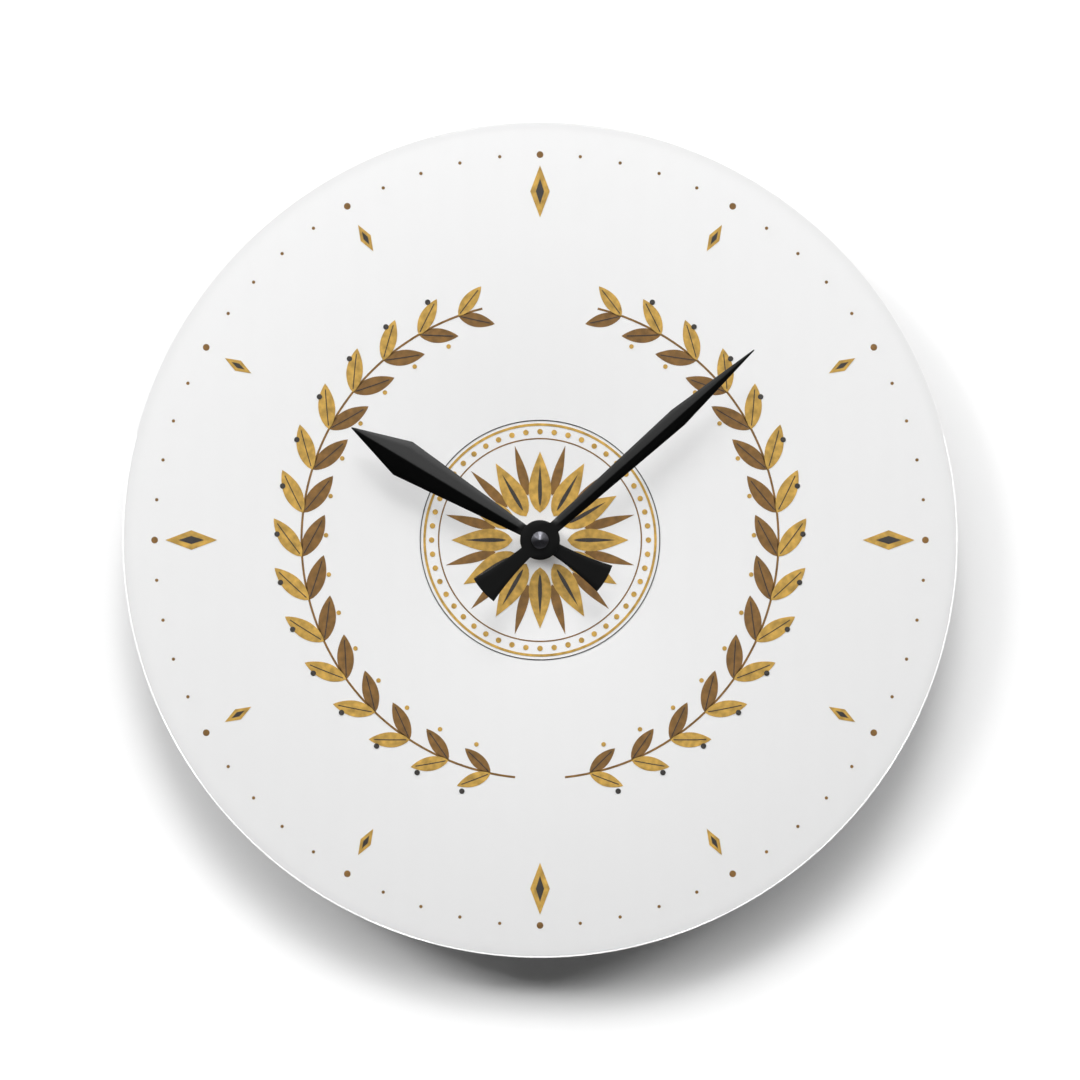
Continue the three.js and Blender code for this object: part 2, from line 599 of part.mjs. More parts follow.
// Train plate: staked on the posts, open round the coil, with feet for the core and the board
function trainPlate() {
  const edgeX = [FREE - contactInner, contactInner - FREE];
  const edgeY = [trainY[0] + FREE, boardTop];
  const sheet = box(edgeX, edgeY, [plateBack, plateFront]);
  const coilGap = BOBBIN_FLANGE_DIAMETER / 2 + FREE;
  const coilRoom = box(
    [bobbinEnds[0] - FREE, bobbinEnds[1] + FREE],
    [coilY - coilGap, boardTop + FREE],
    [plateBack - FREE, plateFront + FREE],
  );
  const footX = boardX[0] + POST_INSET;
  const boardFeet = [[footX, boardY[0] + POST_INSET], [boardX[1] - POST_INSET, boardY[1] - POST_INSET]];
  const middle = (plateBack + plateFront) / 2;
  const feet = [
    ...coreFeet.map((at) => rod(CORE_WIDTH, coreFront + SEAT, middle, at, PIN_SIDES)),
    ...boardFeet.map((at) => rod(CORE_WIDTH, boardZ[1] + SEAT, middle, at, PIN_SIDES)),
  ];
  const through = (diameter, at) => rod(diameter, plateBack - FREE, plateFront + FREE, at, PIN_SIDES);
  const thirdPinionTip = 2 * (pitchRadius(THIRD_PINION_TEETH, CENTRE_MODULE) + CENTRE_MODULE);
  const holes = [
    through(SECOND_TIP_DIAMETER + 2 * SHAKE, axis),
    through(thirdPinionTip + 2 * SHAKE, thirdAt),
    through(settingHole, settingAt),
    through(pivotHole, intermediateAt),
    through(pivotHole, rotorAt),
    ...posts.map((at) => through(STAKE_DIAMETER + 2 * SNUG, at)),
  ];
  return cut(join(cut(sheet, coilRoom), ...feet), ...holes);
}

add("train_plate", trainPlate(), whitePlastic);

// Thin round stock of an arbor, about the origin
const pin = (diameter, back, front) => rod(diameter, back, front, axis, PIN_SIDES);

// Arbor with a pivot at its rear end
function rearArbor(front) {
  const pivot = pin(PIVOT_DIAMETER, arborFoot - PIVOT_LENGTH, arborFoot + PIVOT_LENGTH);
  return join(pivot, pin(ARBOR_DIAMETER, arborFoot, front));
}

// Arbor end that runs in the train plate
function platePivot(back) {
  const shoulder = plateBack - SHAKE;
  const pivot = pin(PIVOT_DIAMETER, shoulder - SHAKE, plateFront - SNUG);
  return join(pin(ARBOR_DIAMETER, back, shoulder), pivot);
}

// Tooth phases, worked along the two trains from one wheel of each
const intermediateTowards = radians(INTERMEDIATE_DEG);
const rotorTowards = radians(ROTOR_DEG);
const thirdTowards = radians(THIRD_DEG);
const settingTowards = radians(SETTING_DEG);
const secondPhase = 0;
const intermediatePhase = meshedPhase(
  intermediateTowards, SECOND_WHEEL_TEETH, secondPhase, INTERMEDIATE_PINION_TEETH);
const rotorPhase = meshedPhase(
  rotorTowards, INTERMEDIATE_WHEEL_TEETH, intermediatePhase, ROTOR_PINION_TEETH);
const thirdPhase = meshedPhase(thirdTowards, SECOND_PINION_TEETH, secondPhase, THIRD_WHEEL_TEETH);
const centrePhase = meshedPhase(
  thirdTowards + Math.PI, THIRD_PINION_TEETH, thirdPhase, CENTRE_WHEEL_TEETH);
const minutePhase = radians(-MINUTE_HAND_DEG); // the arbor is keyed to its hand
const settingPhase = meshedPhase(settingTowards, MINUTE_PINION_TEETH, minutePhase, MINUTE_WHEEL_TEETH);
const hourPhase = meshedPhase(
  settingTowards + Math.PI, HOUR_PINION_TEETH, settingPhase, HOUR_WHEEL_TEETH);

// Stepping motor
function rotorPinion() {
  const leaves = toothed(
    ROTOR_PINION_TEETH, FAST_MODULE, PINION_TOOTH, rotorPhase,
    intermediateBack - FREE, intermediateFront + FREE);
  return join(rearArbor(intermediateFront), leaves, platePivot(intermediateFront));
}

function stator() {
  const [back, front] = stators;
  const ring = rod(MAGNET_DIAMETER + 2 * (STATOR_AIR_GAP + STATOR_RIM), back, front, rotorAt, ROUND_SIDES);
  const elbowY = coilY - BOBBIN_FLANGE_DIAMETER / 2 - FREE - STATOR_ARM / 2;
  const [leftFoot, rightFoot] = coreFeet;
  const leftLeg = [rotorAt, [CORE_MIDDLE_X, elbowY], [leftFoot[0], elbowY], leftFoot];
  const rightLeg = [rotorAt, [rightFoot[0], elbowY], rightFoot];
  const arms = [leftLeg, rightLeg].flatMap((leg) =>
    leg.slice(1).map((to, run) => bar(leg[run], to, STATOR_ARM, back, front)),
  );
  const hole = rod(MAGNET_DIAMETER + 2 * STATOR_AIR_GAP, back - FREE, front + FREE, rotorAt, ROUND_SIDES);
  return cut(join(ring, ...arms), hole);
}

const magnetBore = ARBOR_DIAMETER + 2 * SNUG;
add("rotor_pinion", rotorPinion(), whitePlastic, rotorAt);
add("rotor_magnet", tube(magnetBore, MAGNET_DIAMETER, magnetBack, magnetFront), magnetGrey, rotorAt);
add("stator", stator(), iron);

// Coil, turned about X: iron core, moulded spool and copper winding
function alongX(geometry) {
  return geometry.rotateY(Math.PI / 2).translate(0, coilY, coilZ);
}

function spool() {
  const [left, right] = bobbinEnds;
  const [tubeR, flangeR] = [BOBBIN_TUBE_DIAMETER / 2, BOBBIN_FLANGE_DIAMETER / 2];
  const profile = [
    [0, left],
    [flangeR, left],
    [flangeR, left + BOBBIN_FLANGE],
    [tubeR, left + BOBBIN_FLANGE],
    [tubeR, right - BOBBIN_FLANGE],
    [flangeR, right - BOBBIN_FLANGE],
    [flangeR, right],
    [0, right],
  ];
  const half = CORE_WIDTH / 2 + SNUG;
  const windowY = [coilY - half, coilY + half];
  const window = box([left - FREE, right + FREE], windowY, [coreBack - SNUG, coreFront + SNUG]);
  return cut(solid(alongX(turned(profile))), window);
}

const coreHalf = CORE_WIDTH / 2;
const windingEnds = [bobbinEnds[0] + BOBBIN_FLANGE + SNUG, bobbinEnds[1] - BOBBIN_FLANGE - SNUG];
const windingBore = BOBBIN_TUBE_DIAMETER + 2 * SNUG;
add("coil_core", box(coreEnds, [coilY - coreHalf, coilY + coreHalf], [coreBack, coreFront]), iron);
add("coil_bobbin", spool(), whitePlastic);
add("coil_winding", alongX(tube(windingBore, WINDING_DIAMETER, ...windingEnds)), copper);

// Circuit board with its chip under a drop of resin and the crystal's can, both on the rear side
const chipAt = [(boardX[0] + boardX[1]) / 2, boardY[0] + CHIP_DIAMETER];
const chipBack = boardZ[0] - SEAT - CHIP_HEIGHT;
const chipDrop = [
  [0, chipBack],
  [CHIP_DIAMETER / 3, chipBack],
  [CHIP_DIAMETER / 2, boardZ[0] - SEAT],
  [0, boardZ[0] - SEAT],
];
const crystalY = boardY[1] - CRYSTAL_DIAMETER;
const crystalZ = boardZ[0] - SEAT - CRYSTAL_DIAMETER / 2;
const crystal = new THREE.CylinderGeometry(
  CRYSTAL_DIAMETER / 2, CRYSTAL_DIAMETER / 2, CRYSTAL_LENGTH, SMALL_SIDES);
crystal.rotateZ(Math.PI / 2).translate(chipAt[0], crystalY, crystalZ);
add("circuit_board", box(boardX, boardY, boardZ), boardGreen);
add("driver_chip", turned(chipDrop), epoxyBlack, chipAt);
add("quartz_crystal", crystal, zincSteel);

// Going train
function intermediateWheel() {
  const wheel = toothed(
    INTERMEDIATE_WHEEL_TEETH, FAST_MODULE, WHEEL_TOOTH, intermediatePhase,
    intermediateBack, intermediateFront);
  const leaves = toothed(
    INTERMEDIATE_PINION_TEETH, FAST_MODULE, PINION_TOOTH, intermediatePhase,
    intermediateFront - WHEEL_THICKNESS / 2, secondFront + FREE);
  return join(rearArbor(intermediateFront), wheel, leaves, platePivot(secondFront));
}

function secondWheel() {
  const wheel = toothed(
    SECOND_WHEEL_TEETH, FAST_MODULE, WHEEL_TOOTH, secondPhase, secondBack, secondFront);
  const leaves = toothed(
    SECOND_PINION_TEETH, thirdModule, PINION_TOOTH, secondPhase,
    secondFront - WHEEL_THICKNESS / 2, thirdFront + FREE);
  const tip = pin(SECOND_TIP_DIAMETER, thirdFront, minuteSeat - SECOND_TIP_SHORT);
  return join(rearArbor(secondFront), wheel, leaves, tip);
}

function thirdWheel() {
  const wheel = toothed(THIRD_WHEEL_TEETH, thirdModule, WHEEL_TOOTH, thirdPhase, thirdBack, thirdFront);
  const leaves = toothed(
    THIRD_PINION_TEETH, CENTRE_MODULE, PINION_TOOTH, thirdPhase, centreBack - FREE, thirdPinionFront);
  const pivot = pin(PIVOT_DIAMETER, centreFront, thirdPinionFront + PIVOT_LENGTH);
  return join(rearArbor(centreFront), wheel, leaves, pivot);
}

function centreWheel() {
  const wheel = toothed(
    CENTRE_WHEEL_TEETH, CENTRE_MODULE, WHEEL_TOOTH, centrePhase, centreBack, centreFront);
  return cut(wheel, rod(MINUTE_ARBOR_DIAMETER + 2 * RUN, centreBack - FREE, centreFront + FREE));
}

add("intermediate_wheel", intermediateWheel(), whitePlastic, intermediateAt);
add("second_wheel", secondWheel(), whitePlastic);
add("third_wheel", thirdWheel(), whitePlastic, thirdAt);
add("centre_wheel", centreWheel(), whitePlastic);

// Friction clutch: a dished washer pressed between the centre wheel and the minute pinion
function clutchSpring() {
  const [inside, rim] = [MINUTE_ARBOR_DIAMETER / 2 + RUN, CLUTCH_DIAMETER / 2];
  const profile = [
    [inside, clutchBack + CLUTCH_RISE],
    [rim, clutchBack],
    [rim, clutchBack + CLUTCH_SHEET],
    [inside, clutchFront],
    [inside, clutchBack + CLUTCH_RISE],
  ];
  return turned(profile);
}

// Tip of the minute arbor, round with two flats, or the hole that fits over it
function keyShape(clearance) {
  const radius = MINUTE_ARBOR_DIAMETER / 2 - RUN + clearance;
  const flat = KEY_FLAT / 2 + clearance;
  const corner = Math.asin(flat / radius);
  const shape = new THREE.Shape();
  shape.absarc(0, 0, radius, -corner, corner);
  shape.absarc(0, 0, radius, Math.PI - corner, Math.PI + corner);
  shape.closePath();
  return shape;
}

function minuteArbor() {
  const [bore, outside] = [SECOND_TIP_DIAMETER / 2 + RUN, MINUTE_ARBOR_DIAMETER / 2];
  const flange = MINUTE_FLANGE_DIAMETER / 2;
  const boreEnd = minuteSeat - SECOND_TIP_SHORT + SHAKE;
  const profile = [
    [0, boreEnd],
    [bore, boreEnd],
    [bore, flangeBack],
    [flange, flangeBack],
    [flange, flangeFront],
    [outside, flangeFront],
    [outside, minuteSeat],
    [0, minuteSeat],
  ];
  const leaves = toothed(
    MINUTE_PINION_TEETH, minuteModule, PINION_TOOTH, 0, minutePinionBack, minutePinionFront);
  const pipeRoom = rod(MINUTE_ARBOR_DIAMETER - 2 * RUN, minutePinionBack - FREE, minutePinionFront + FREE);
  const key = slab(keyShape(0), minuteSeat - FREE, minuteSeat + KEY_LENGTH);
  return join(solid(turned(profile)), cut(leaves, pipeRoom), key);
}

add("clutch_spring", clutchSpring(), zincSteel);
add("minute_arbor", minuteArbor(), brass, axis, -MINUTE_HAND_DEG);

// Motion work: setting wheel with its long arbor, hour wheel with its pipe
function minuteWheel() {
  const arborBack = KNOB_SUNK + KNOB_THICKNESS - KNOB_SOCKET_DEPTH + SHAKE;
  const arbor = pin(SETTING_ARBOR_DIAMETER, arborBack, minuteWheelFront);
  const wheel = toothed(
    MINUTE_WHEEL_TEETH, minuteModule, WHEEL_TOOTH, settingPhase, minuteWheelBack, minuteWheelFront);
  const leaves = toothed(
    HOUR_PINION_TEETH, hourModule, PINION_TOOTH, settingPhase,
    minuteWheelFront - WHEEL_THICKNESS / 2, hourPinionFront);
  const pivot = pin(PIVOT_DIAMETER, minuteWheelFront, hourPinionFront + PIVOT_LENGTH);
  return join(arbor, wheel, leaves, pivot);
}

function hourWheel() {
  const wheel = toothed(
    HOUR_WHEEL_TEETH, hourModule, WHEEL_TOOTH, hourPhase, hourWheelBack, hourWheelFront);
  const pipe = rod(HOUR_PIPE_DIAMETER, hourWheelBack, hourHandFront);
  const bore = rod(MINUTE_ARBOR_DIAMETER + 2 * RUN, hourWheelBack - FREE, hourHandFront + FREE);
  return cut(join(wheel, pipe), bore);
}

add("minute_wheel", minuteWheel(), whitePlastic, settingAt);
add("hour_wheel", hourWheel(), whitePlastic);

// Setting knob: scalloped disc with a finger fin, sunk in its cup
function settingKnob() {
  const points = [];
  const steps = KNOB_GRIPS * 4;
  for (let step = 0; step < steps; step++) {
    const angle = (step * TURN) / steps;
    const scallop = (1 - Math.cos(angle * KNOB_GRIPS)) / 2;
    const radius = KNOB_DIAMETER / 2 - KNOB_GRIP_DEPTH * scallop;
    points.push(new THREE.Vector2(radius * Math.cos(angle), radius * Math.sin(angle)));
  }
  const disc = slab(new THREE.Shape(points), KNOB_SUNK, knobFront);
  const reach = KNOB_DIAMETER / 2 - 2 * KNOB_GRIP_DEPTH - KNOB_FIN_HEIGHT;
  const fin = box(
    [-KNOB_FIN_WIDTH / 2, KNOB_FIN_WIDTH / 2],
    [-reach, reach],
    [KNOB_SUNK - KNOB_FIN_HEIGHT, KNOB_SUNK + KNOB_FIN_HEIGHT],
  );
  const socket = rod(SETTING_ARBOR_DIAMETER + 2 * SNUG, knobFront - KNOB_SOCKET_DEPTH, knobFront + FREE);
  return cut(join(disc, fin), socket);
}

add("setting_knob", settingKnob(), blackPlastic, settingAt);

// Hands point to twelve about the origin, and are then turned to the time
const foldSlope = Math.tan(radians(HAND_FOLD_DEG));
const hubRadius = HAND_HUB_DIAMETER / 2;

// Lance: a strip folded along its middle. Each station is [distance, width, share of the fold].
function lance(stations, front) {
  const loops = stations.map(([along, width, fold]) => {
    const half = width / 2;
    const drop = half * foldSlope * fold;
    const back = front - HAND_SHEET;
    const left = [-half, along, front - drop];
    const ridge = [0, along, front];
    const right = [half, along, front - drop];
    return [left, ridge, right, [half, along, back - drop], [0, along, back], [-half, along, back - drop]];
  });
  const corners = loops[0].length;
  const faces = [];
  for (let loop = 0; loop + 1 < loops.length; loop++) {
    for (let corner = 0; corner < corners; corner++) {
      const next = (corner + 1) % corners;
      const [a, b] = [loop * corners + corner, loop * corners + next];
      faces.push(a, b, b + corners, a, b + corners, a + corners);
    }
  }
  const last = (loops.length - 1) * corners;
  for (const [p, q] of [[2, 3], [3, 4], [4, 5], [5, 0]]) {
    faces.push(1, q, p, last + 1, last + p, last + q);
  }
  const geometry = new THREE.BufferGeometry();
  geometry.setAttribute("position", new THREE.Float32BufferAttribute(loops.flat(2), 3));
  geometry.setIndex(faces);
  return solid(geometry);
}

// Fan-shaped tail with hollow sides, which ends in an arc about the axis
function tail(back, front) {
  const [neck, waist, end] = [TAIL_NECK_WIDTH / 2, TAIL_WAIST_WIDTH / 2, TAIL_END_WIDTH / 2];
  const spread = Math.asin(end / TAIL_REACH);
  const [root, corner] = [-hubRadius / 2, -TAIL_REACH * Math.cos(spread)];
  const halfway = (root + corner) / 2;
  const shape = new THREE.Shape();
  shape.moveTo(neck, root);
  shape.lineTo(-neck, root);
  shape.quadraticCurveTo(-waist, halfway, -end, corner);
  shape.absarc(0, 0, TAIL_REACH, -Math.PI / 2 - spread, -Math.PI / 2 + spread);
  shape.quadraticCurveTo(waist, halfway, neck, root);
  return slab(shape, back, front);
}

function hand(size, back, front, hole) {
  const stations = [
    [hubRadius / 2, size.neck, 0],
    [hubRadius, size.neck, 0],
    [hubRadius + HAND_FOLD_RUN, size.neck + (size.shoulder - size.neck) * size.runShare, 1],
    [size.shoulderAt, size.shoulder, 1],
    [size.reach, HAND_TIP_WIDTH, 1],
  ];
  const hub = rod(HAND_HUB_DIAMETER, back, front, axis, ROUND_SIDES);
  return cut(join(hub, lance(stations, front), tail(back, front)), hole);
}

function handSize(reach, shoulderAt, shoulder, neck) {
  return { reach, shoulderAt, shoulder, neck, runShare: HAND_FOLD_RUN / (shoulderAt - hubRadius) };
}

const hourSize = handSize(HOUR_REACH, HOUR_SHOULDER_AT, HOUR_SHOULDER_WIDTH, HOUR_NECK_WIDTH);
const minuteSize = handSize(MINUTE_REACH, MINUTE_SHOULDER_AT, MINUTE_SHOULDER_WIDTH, MINUTE_NECK_WIDTH);
const pipeFit = HOUR_PIPE_DIAMETER + 2 * SNUG;
const hourHole = rod(pipeFit, hourHandBack - FREE, hourHandFront + FREE);
const keyHole = slab(keyShape(SNUG), minuteHandBack - FREE, minuteHandFront + FREE);
const hourHand = hand(hourSize, hourHandBack, hourHandFront, hourHole);
const minuteHand = hand(minuteSize, minuteHandBack, minuteHandFront, keyHole);
add("hour_hand", hourHand, blackPaint, axis, -HOUR_HAND_DEG);
add("hour_hand_collet", tube(pipeFit, COLLET_DIAMETER, colletBack, colletFront), blackNickel);
add("minute_hand", minuteHand, blackPaint, axis, -MINUTE_HAND_DEG);

// Closed cap nut on the minute arbor's tip
function capNut() {
  const [outside, bore] = [CAP_DIAMETER / 2, MINUTE_ARBOR_DIAMETER / 2];
  const rim = capBack + CAP_SKIRT;
  const boreEnd = capBack + CAP_BORE_DEPTH;
  const profile = [
    [0, boreEnd],
    [bore, boreEnd],
    [bore, capBack],
    [outside, capBack],
    [outside, rim - CAP_ROUND],
    [outside - CAP_ROUND / 2, rim],
    [0, rim + CAP_CONE],
  ];
  return turned(profile, ROUND_SIDES);
}

add("cap_nut", capNut(), blackNickel);

// Contacts: flat strips bent in the plane of the dial, as wide as CONTACT_WIDTH along Z
function strip(points) {
  return slab(new THREE.Shape(points.map(([x, y]) => new THREE.Vector2(x, y))), ...contactZ);
}

function positiveContact() {
  const top = innerTop - contactGap;
  const low = cellY - CONTACT_BOW;
  const end = boardX[1];
  const [out, back] = [contactOuter, contactInner];
  const under = top - CONTACT_STRIP;
  return strip([[back, low], [out, low], [out, top], [end, top], [end, under], [back, under]]);
}

function negativeContact() {
  const [out, back] = [-contactOuter, -contactInner];
  const bow = cellLeft - FREE;
  const [low, high] = [cellY - CONTACT_BOW, cellY + CONTACT_BOW];
  const top = boardY[0] + CONTACT_BOW;
  return strip([
    [back, low], [bow, cellY], [back, high], [back, top],
    [out, top], [out, high], [bow - CONTACT_STRIP, cellY], [out, low],
  ]);
}

add("positive_contact", positiveContact(), zincSteel);
add("negative_contact", negativeContact(), zincSteel);

// AA cell, turned about X with its nub to the right
function batteryCell() {
  const [can, nub] = [CELL_DIAMETER / 2, CELL_NUB_DIAMETER / 2];
  const canEnd = cellRight - CELL_NUB_LENGTH;
  const profile = [
    [0, cellLeft],
    [can - CELL_EDGE, cellLeft],
    [can, cellLeft + CELL_EDGE],
    [can, canEnd - CELL_EDGE],
    [can - CELL_EDGE, canEnd],
    [nub, canEnd],
    [nub, cellRight],
    [0, cellRight],
  ];
  return turned(profile, ROUND_SIDES).rotateY(Math.PI / 2).translate(0, cellY, cellZ);
}

add("battery_cell", batteryCell(), cellWrap);

const part = new THREE.Group();
part.add(clock);

export default part;
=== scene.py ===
"""Looks of an acrylic wall clock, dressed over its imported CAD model.

Metres. The face looks to -Y, twelve o'clock is at +Z and the wall is the plane Y = 0. A depth is a
distance out of the wall, so what lies at depth d has Y = -d. Clock angles run clockwise from twelve.
"""
import functools
import math

import bmesh
import bpy
import numpy as np
from bpy.props import FloatProperty, FloatVectorProperty, IntProperty, PointerProperty
from bpy.types import Operator, Panel, PropertyGroup
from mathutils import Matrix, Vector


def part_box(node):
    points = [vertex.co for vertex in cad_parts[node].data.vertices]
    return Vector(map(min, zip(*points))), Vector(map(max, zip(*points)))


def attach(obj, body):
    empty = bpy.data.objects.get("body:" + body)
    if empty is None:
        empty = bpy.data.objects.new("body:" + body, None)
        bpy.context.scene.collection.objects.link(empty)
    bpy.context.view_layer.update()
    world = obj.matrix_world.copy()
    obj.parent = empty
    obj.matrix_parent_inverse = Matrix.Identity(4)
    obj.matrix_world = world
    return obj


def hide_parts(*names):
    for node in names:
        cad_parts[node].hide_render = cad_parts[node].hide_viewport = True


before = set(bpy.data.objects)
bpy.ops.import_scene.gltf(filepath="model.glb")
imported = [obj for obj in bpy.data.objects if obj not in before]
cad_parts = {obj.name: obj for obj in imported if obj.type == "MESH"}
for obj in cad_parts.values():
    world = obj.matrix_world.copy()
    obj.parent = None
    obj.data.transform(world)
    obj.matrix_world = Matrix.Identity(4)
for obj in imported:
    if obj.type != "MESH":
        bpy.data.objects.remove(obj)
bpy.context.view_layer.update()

bl_info = {
    "name": "Acrylic wall clock",
    "version": (1, 0, 0),
    "blender": (4, 5, 0),
    "location": "View3D > Sidebar > Clock",
    "description": "Dresses the CAD model of a wall clock and sets up its studio",
    "category": "Object",
}

MM = 0.001
TOUCH = 0.01 * MM  # places closer than this count as one
TURN = 2 * math.pi
BODY = "clock_body"
PHOTO_PIXELS = 1080
PHOTO_DIAL_PIXELS = 836


def depths(node_name):
    """Depth of a CAD node's back and of its front."""
    low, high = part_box(node_name)
    return -high.y, -low.y


def middle(node_name):
    """Middle of a CAD node's box."""
    low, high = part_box(node_name)
    return (low + high) / 2


def points_of(mesh):
    """A mesh's points, as points x 3."""
    place = np.empty((len(mesh.vertices), 3), np.float32)
    mesh.vertices.foreach_get("co", place.ravel())
    return place


def bore_of(node_name):
    """Smallest radius, off the clock's axis, of a CAD node's points."""
    place = points_of(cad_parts[node_name].data)
    radius = np.hypot(place[:, 0], place[:, 2])
    return float(radius[radius > 0.1 * MM].min())


def linear(code):
    """An sRGB hex colour as linear light: c / 12.92 in the toe, ((c + 0.055) / 1.055) ^ 2.4 above."""
    srgb = np.array([int(code[i:i + 2], 16) for i in (1, 3, 5)]) / 255
    light = np.where(srgb <= 0.04045, srgb / 12.92, ((srgb + 0.055) / 1.055) ** 2.4)
    return tuple(float(c) for c in light)


def length(name, description, default):
    """A size that a user may change, in metres."""
    return FloatProperty(
        name=name, description=description, default=default, min=0, unit="LENGTH", subtype="DISTANCE",
        precision=5)


def angle(name, description, degrees):
    """An angle that a user may change, in radians."""
    return FloatProperty(
        name=name, description=description, default=math.radians(degrees), unit="ROTATION",
        subtype="ANGLE")


def colour(name, description, code):
    """A colour that a user may change."""
    return FloatVectorProperty(
        name=name, description=description, default=linear(code), size=3, min=0, max=1, subtype="COLOR")


def power(name, description, watts):
    """A lamp's power that a user may change."""
    return FloatProperty(name=name, description=description, default=watts, min=0, unit="POWER")


class DialSettings(PropertyGroup):
    """Acrylic disc and the white coat behind it."""

    edge_ease: length("Edge ease", "Rounding of the polished edges", 0.15 * MM)
    chamfer: length("Chamfer", "Bevel along the rim", 0.6 * MM)
    acrylic: colour("Acrylic", "Tint of the clear sheet", "#fcfcfc")
    white: colour("White coat", "Colour of the white ink", "#f6f6f6")


class OrnamentSettings(PropertyGroup):
    """Ornament printed between the white coat and the acrylic."""

    ink: length("Ink", "Thickness of one layer of ink", 0.04 * MM)
    marker_radius: length("Marker radius", "Middle of the hour markers", 114 * MM)
    track_radius: length("Track radius", "Ring of minute dots", 126 * MM)
    wreath_radius: length("Wreath radius", "Stems of the wreath", 78 * MM)
    leaf: length("Leaf", "Length of the longest leaf", 17 * MM)
    leaves: IntProperty(name="Leaves", description="Pairs of leaves on each branch", default=15, min=3)
    rosette_radius: length("Rosette radius", "Reach of the middle petals", 29 * MM)
    gold: colour("Gold", "Light gold ink", "#dfb255")
    bronze: colour("Bronze", "Dark gold ink", "#8d6630")
    charcoal: colour("Charcoal", "Dark ink", "#2f2b28")


class HandSettings(PropertyGroup):
    """The pair of folded lance hands."""

    hour_reach: length("Hour reach", "Tip of the hour hand from its axis", 71.4 * MM)
    hour_shoulder_at: length("Hour shoulder", "Widest place of the hour hand", 52 * MM)
    hour_width: length("Hour width", "Width at the shoulder", 12.5 * MM)
    hour_neck: length("Hour neck", "Width beside the hub", 3.9 * MM)
    minute_reach: length("Minute reach", "Tip of the minute hand from its axis", 93 * MM)
    minute_shoulder_at: length("Minute shoulder", "Widest place of the minute hand", 60 * MM)
    minute_width: length("Minute width", "Width at the shoulder", 6.55 * MM)
    minute_neck: length("Minute neck", "Width beside the hub", 3.95 * MM)
    hub: length("Hub", "Diameter of both hubs", 13 * MM)
    tail: length("Tail", "End of the tails from the axis", 25 * MM)
    tail_neck: length("Tail neck", "Width of a tail at its root", 4 * MM)
    tail_waist: length("Tail waist", "Width that draws a tail's sides in halfway", 4.7 * MM)
    tail_end: length("Tail end", "Width of a tail at its end", 9.9 * MM)
    tip: length("Tip", "Width of the blunted point", 0.4 * MM)
    sheet: length("Sheet", "Thickness of the metal", 0.5 * MM)
    fold: angle("Fold", "Slope of each half of a lance", 15)
    fold_run: length("Fold run", "Length past the hub over which the fold grows", 2.5 * MM)
    hour_turn: angle("Hour hand", "Clock angle of the hour hand at rest", 300.8)
    minute_turn: angle("Minute hand", "Clock angle of the minute hand at rest", 48.4)
    paint: colour("Paint", "Black stoved on the hands", "#050505")


class CaseSettings(PropertyGroup):
    """Movement case, hanger, knob and cell."""

    edge_ease: length("Edge ease", "Rounding of the moulded edges", 0.35 * MM)
    corner: length("Corner", "Radius of the case's upright corners", 3 * MM)
    sink: length("Sink", "Rear face of the cover in from its raised marks", 0.3 * MM)
    plastic: colour("Plastic", "Moulded case", "#1b1c1e")
    steel: colour("Steel", "Zinc plated hanger", "#b9bcc1")
    wrap: colour("Cell wrap", "Film round the cell", "#c9cdd2")
    band: colour("Cell band", "Printed band on the film", "#31506e")


class StageSettings(PropertyGroup):
    """Wall, floor, lamps and camera."""

    lens: FloatProperty(name="Lens", description="Focal length", default=150, unit="CAMERA", min=20)
    key: power("Key", "Broad lamp in front", 550)
    side: power("Side", "Lamp on the left, twice the right", 354)
    top: power("Top", "Lamp high in front", 392)
    rim: power("Rim", "Each strip round the rim", 0.12)
    rear: power("Rear", "Soft lamp behind the wall", 24)
    wall: colour("Wall", "Matt wall", "#f4f4f4")
    floor: colour("Floor", "Pale floor", "#ededed")
    floor_drop: length("Floor drop", "Floor below the clock's middle", 1.5)


class ClockSettings(PropertyGroup):
    """All settings of the clock."""

    dial: PointerProperty(type=DialSettings)
    ornament: PointerProperty(type=OrnamentSettings)
    hands: PointerProperty(type=HandSettings)
    case: PointerProperty(type=CaseSettings)
    stage: PointerProperty(type=StageSettings)


# Surfaces

def grid(rows, columns, close_rows=False, close_columns=False):
    """Quads of a sheet of rows x columns points, joined end to end where asked."""
    row = np.arange(rows if close_rows else rows - 1)[:, None]
    column = np.arange(columns if close_columns else columns - 1)[None, :]
    below, beside = (row + 1) % rows, (column + 1) % columns
    corners = np.broadcast_arrays(
        row * columns + column, row * columns + beside, below * columns + beside, below * columns + column)
    return np.stack(corners, axis=-1).reshape(-1, 4)


def gather(*parts):
    """Several (points, faces) as one, with each part's faces counted on from the last."""
    starts = np.cumsum([0] + [len(points) for points, _ in parts])
    points = np.vstack([points for points, _ in parts])
    return points, np.vstack([faces + start for (_, faces), start in zip(parts, starts)])


def eased(corners, steps=5):
    """A closed outline with its corners (a, b, ease) rounded.

    Corner c becomes (1 - t)^2 s + 2 t (1 - t) c + t^2 e, where s and e lie the ease distance from c
    towards its neighbours.
    """
    corners = np.asarray(corners, float)
    corner, ease = corners[:, :2], corners[:, 2:]
    before = np.roll(corner, 1, axis=0) - corner
    after = np.roll(corner, -1, axis=0) - corner
    start = corner + ease * before / np.linalg.norm(before, axis=1, keepdims=True)
    end = corner + ease * after / np.linalg.norm(after, axis=1, keepdims=True)
    t = np.linspace(0, 1, steps)[:, None, None]
    curve = (1 - t) ** 2 * start + 2 * t * (1 - t) * corner + t ** 2 * end
    return curve.transpose(1, 0, 2).reshape(-1, 2)


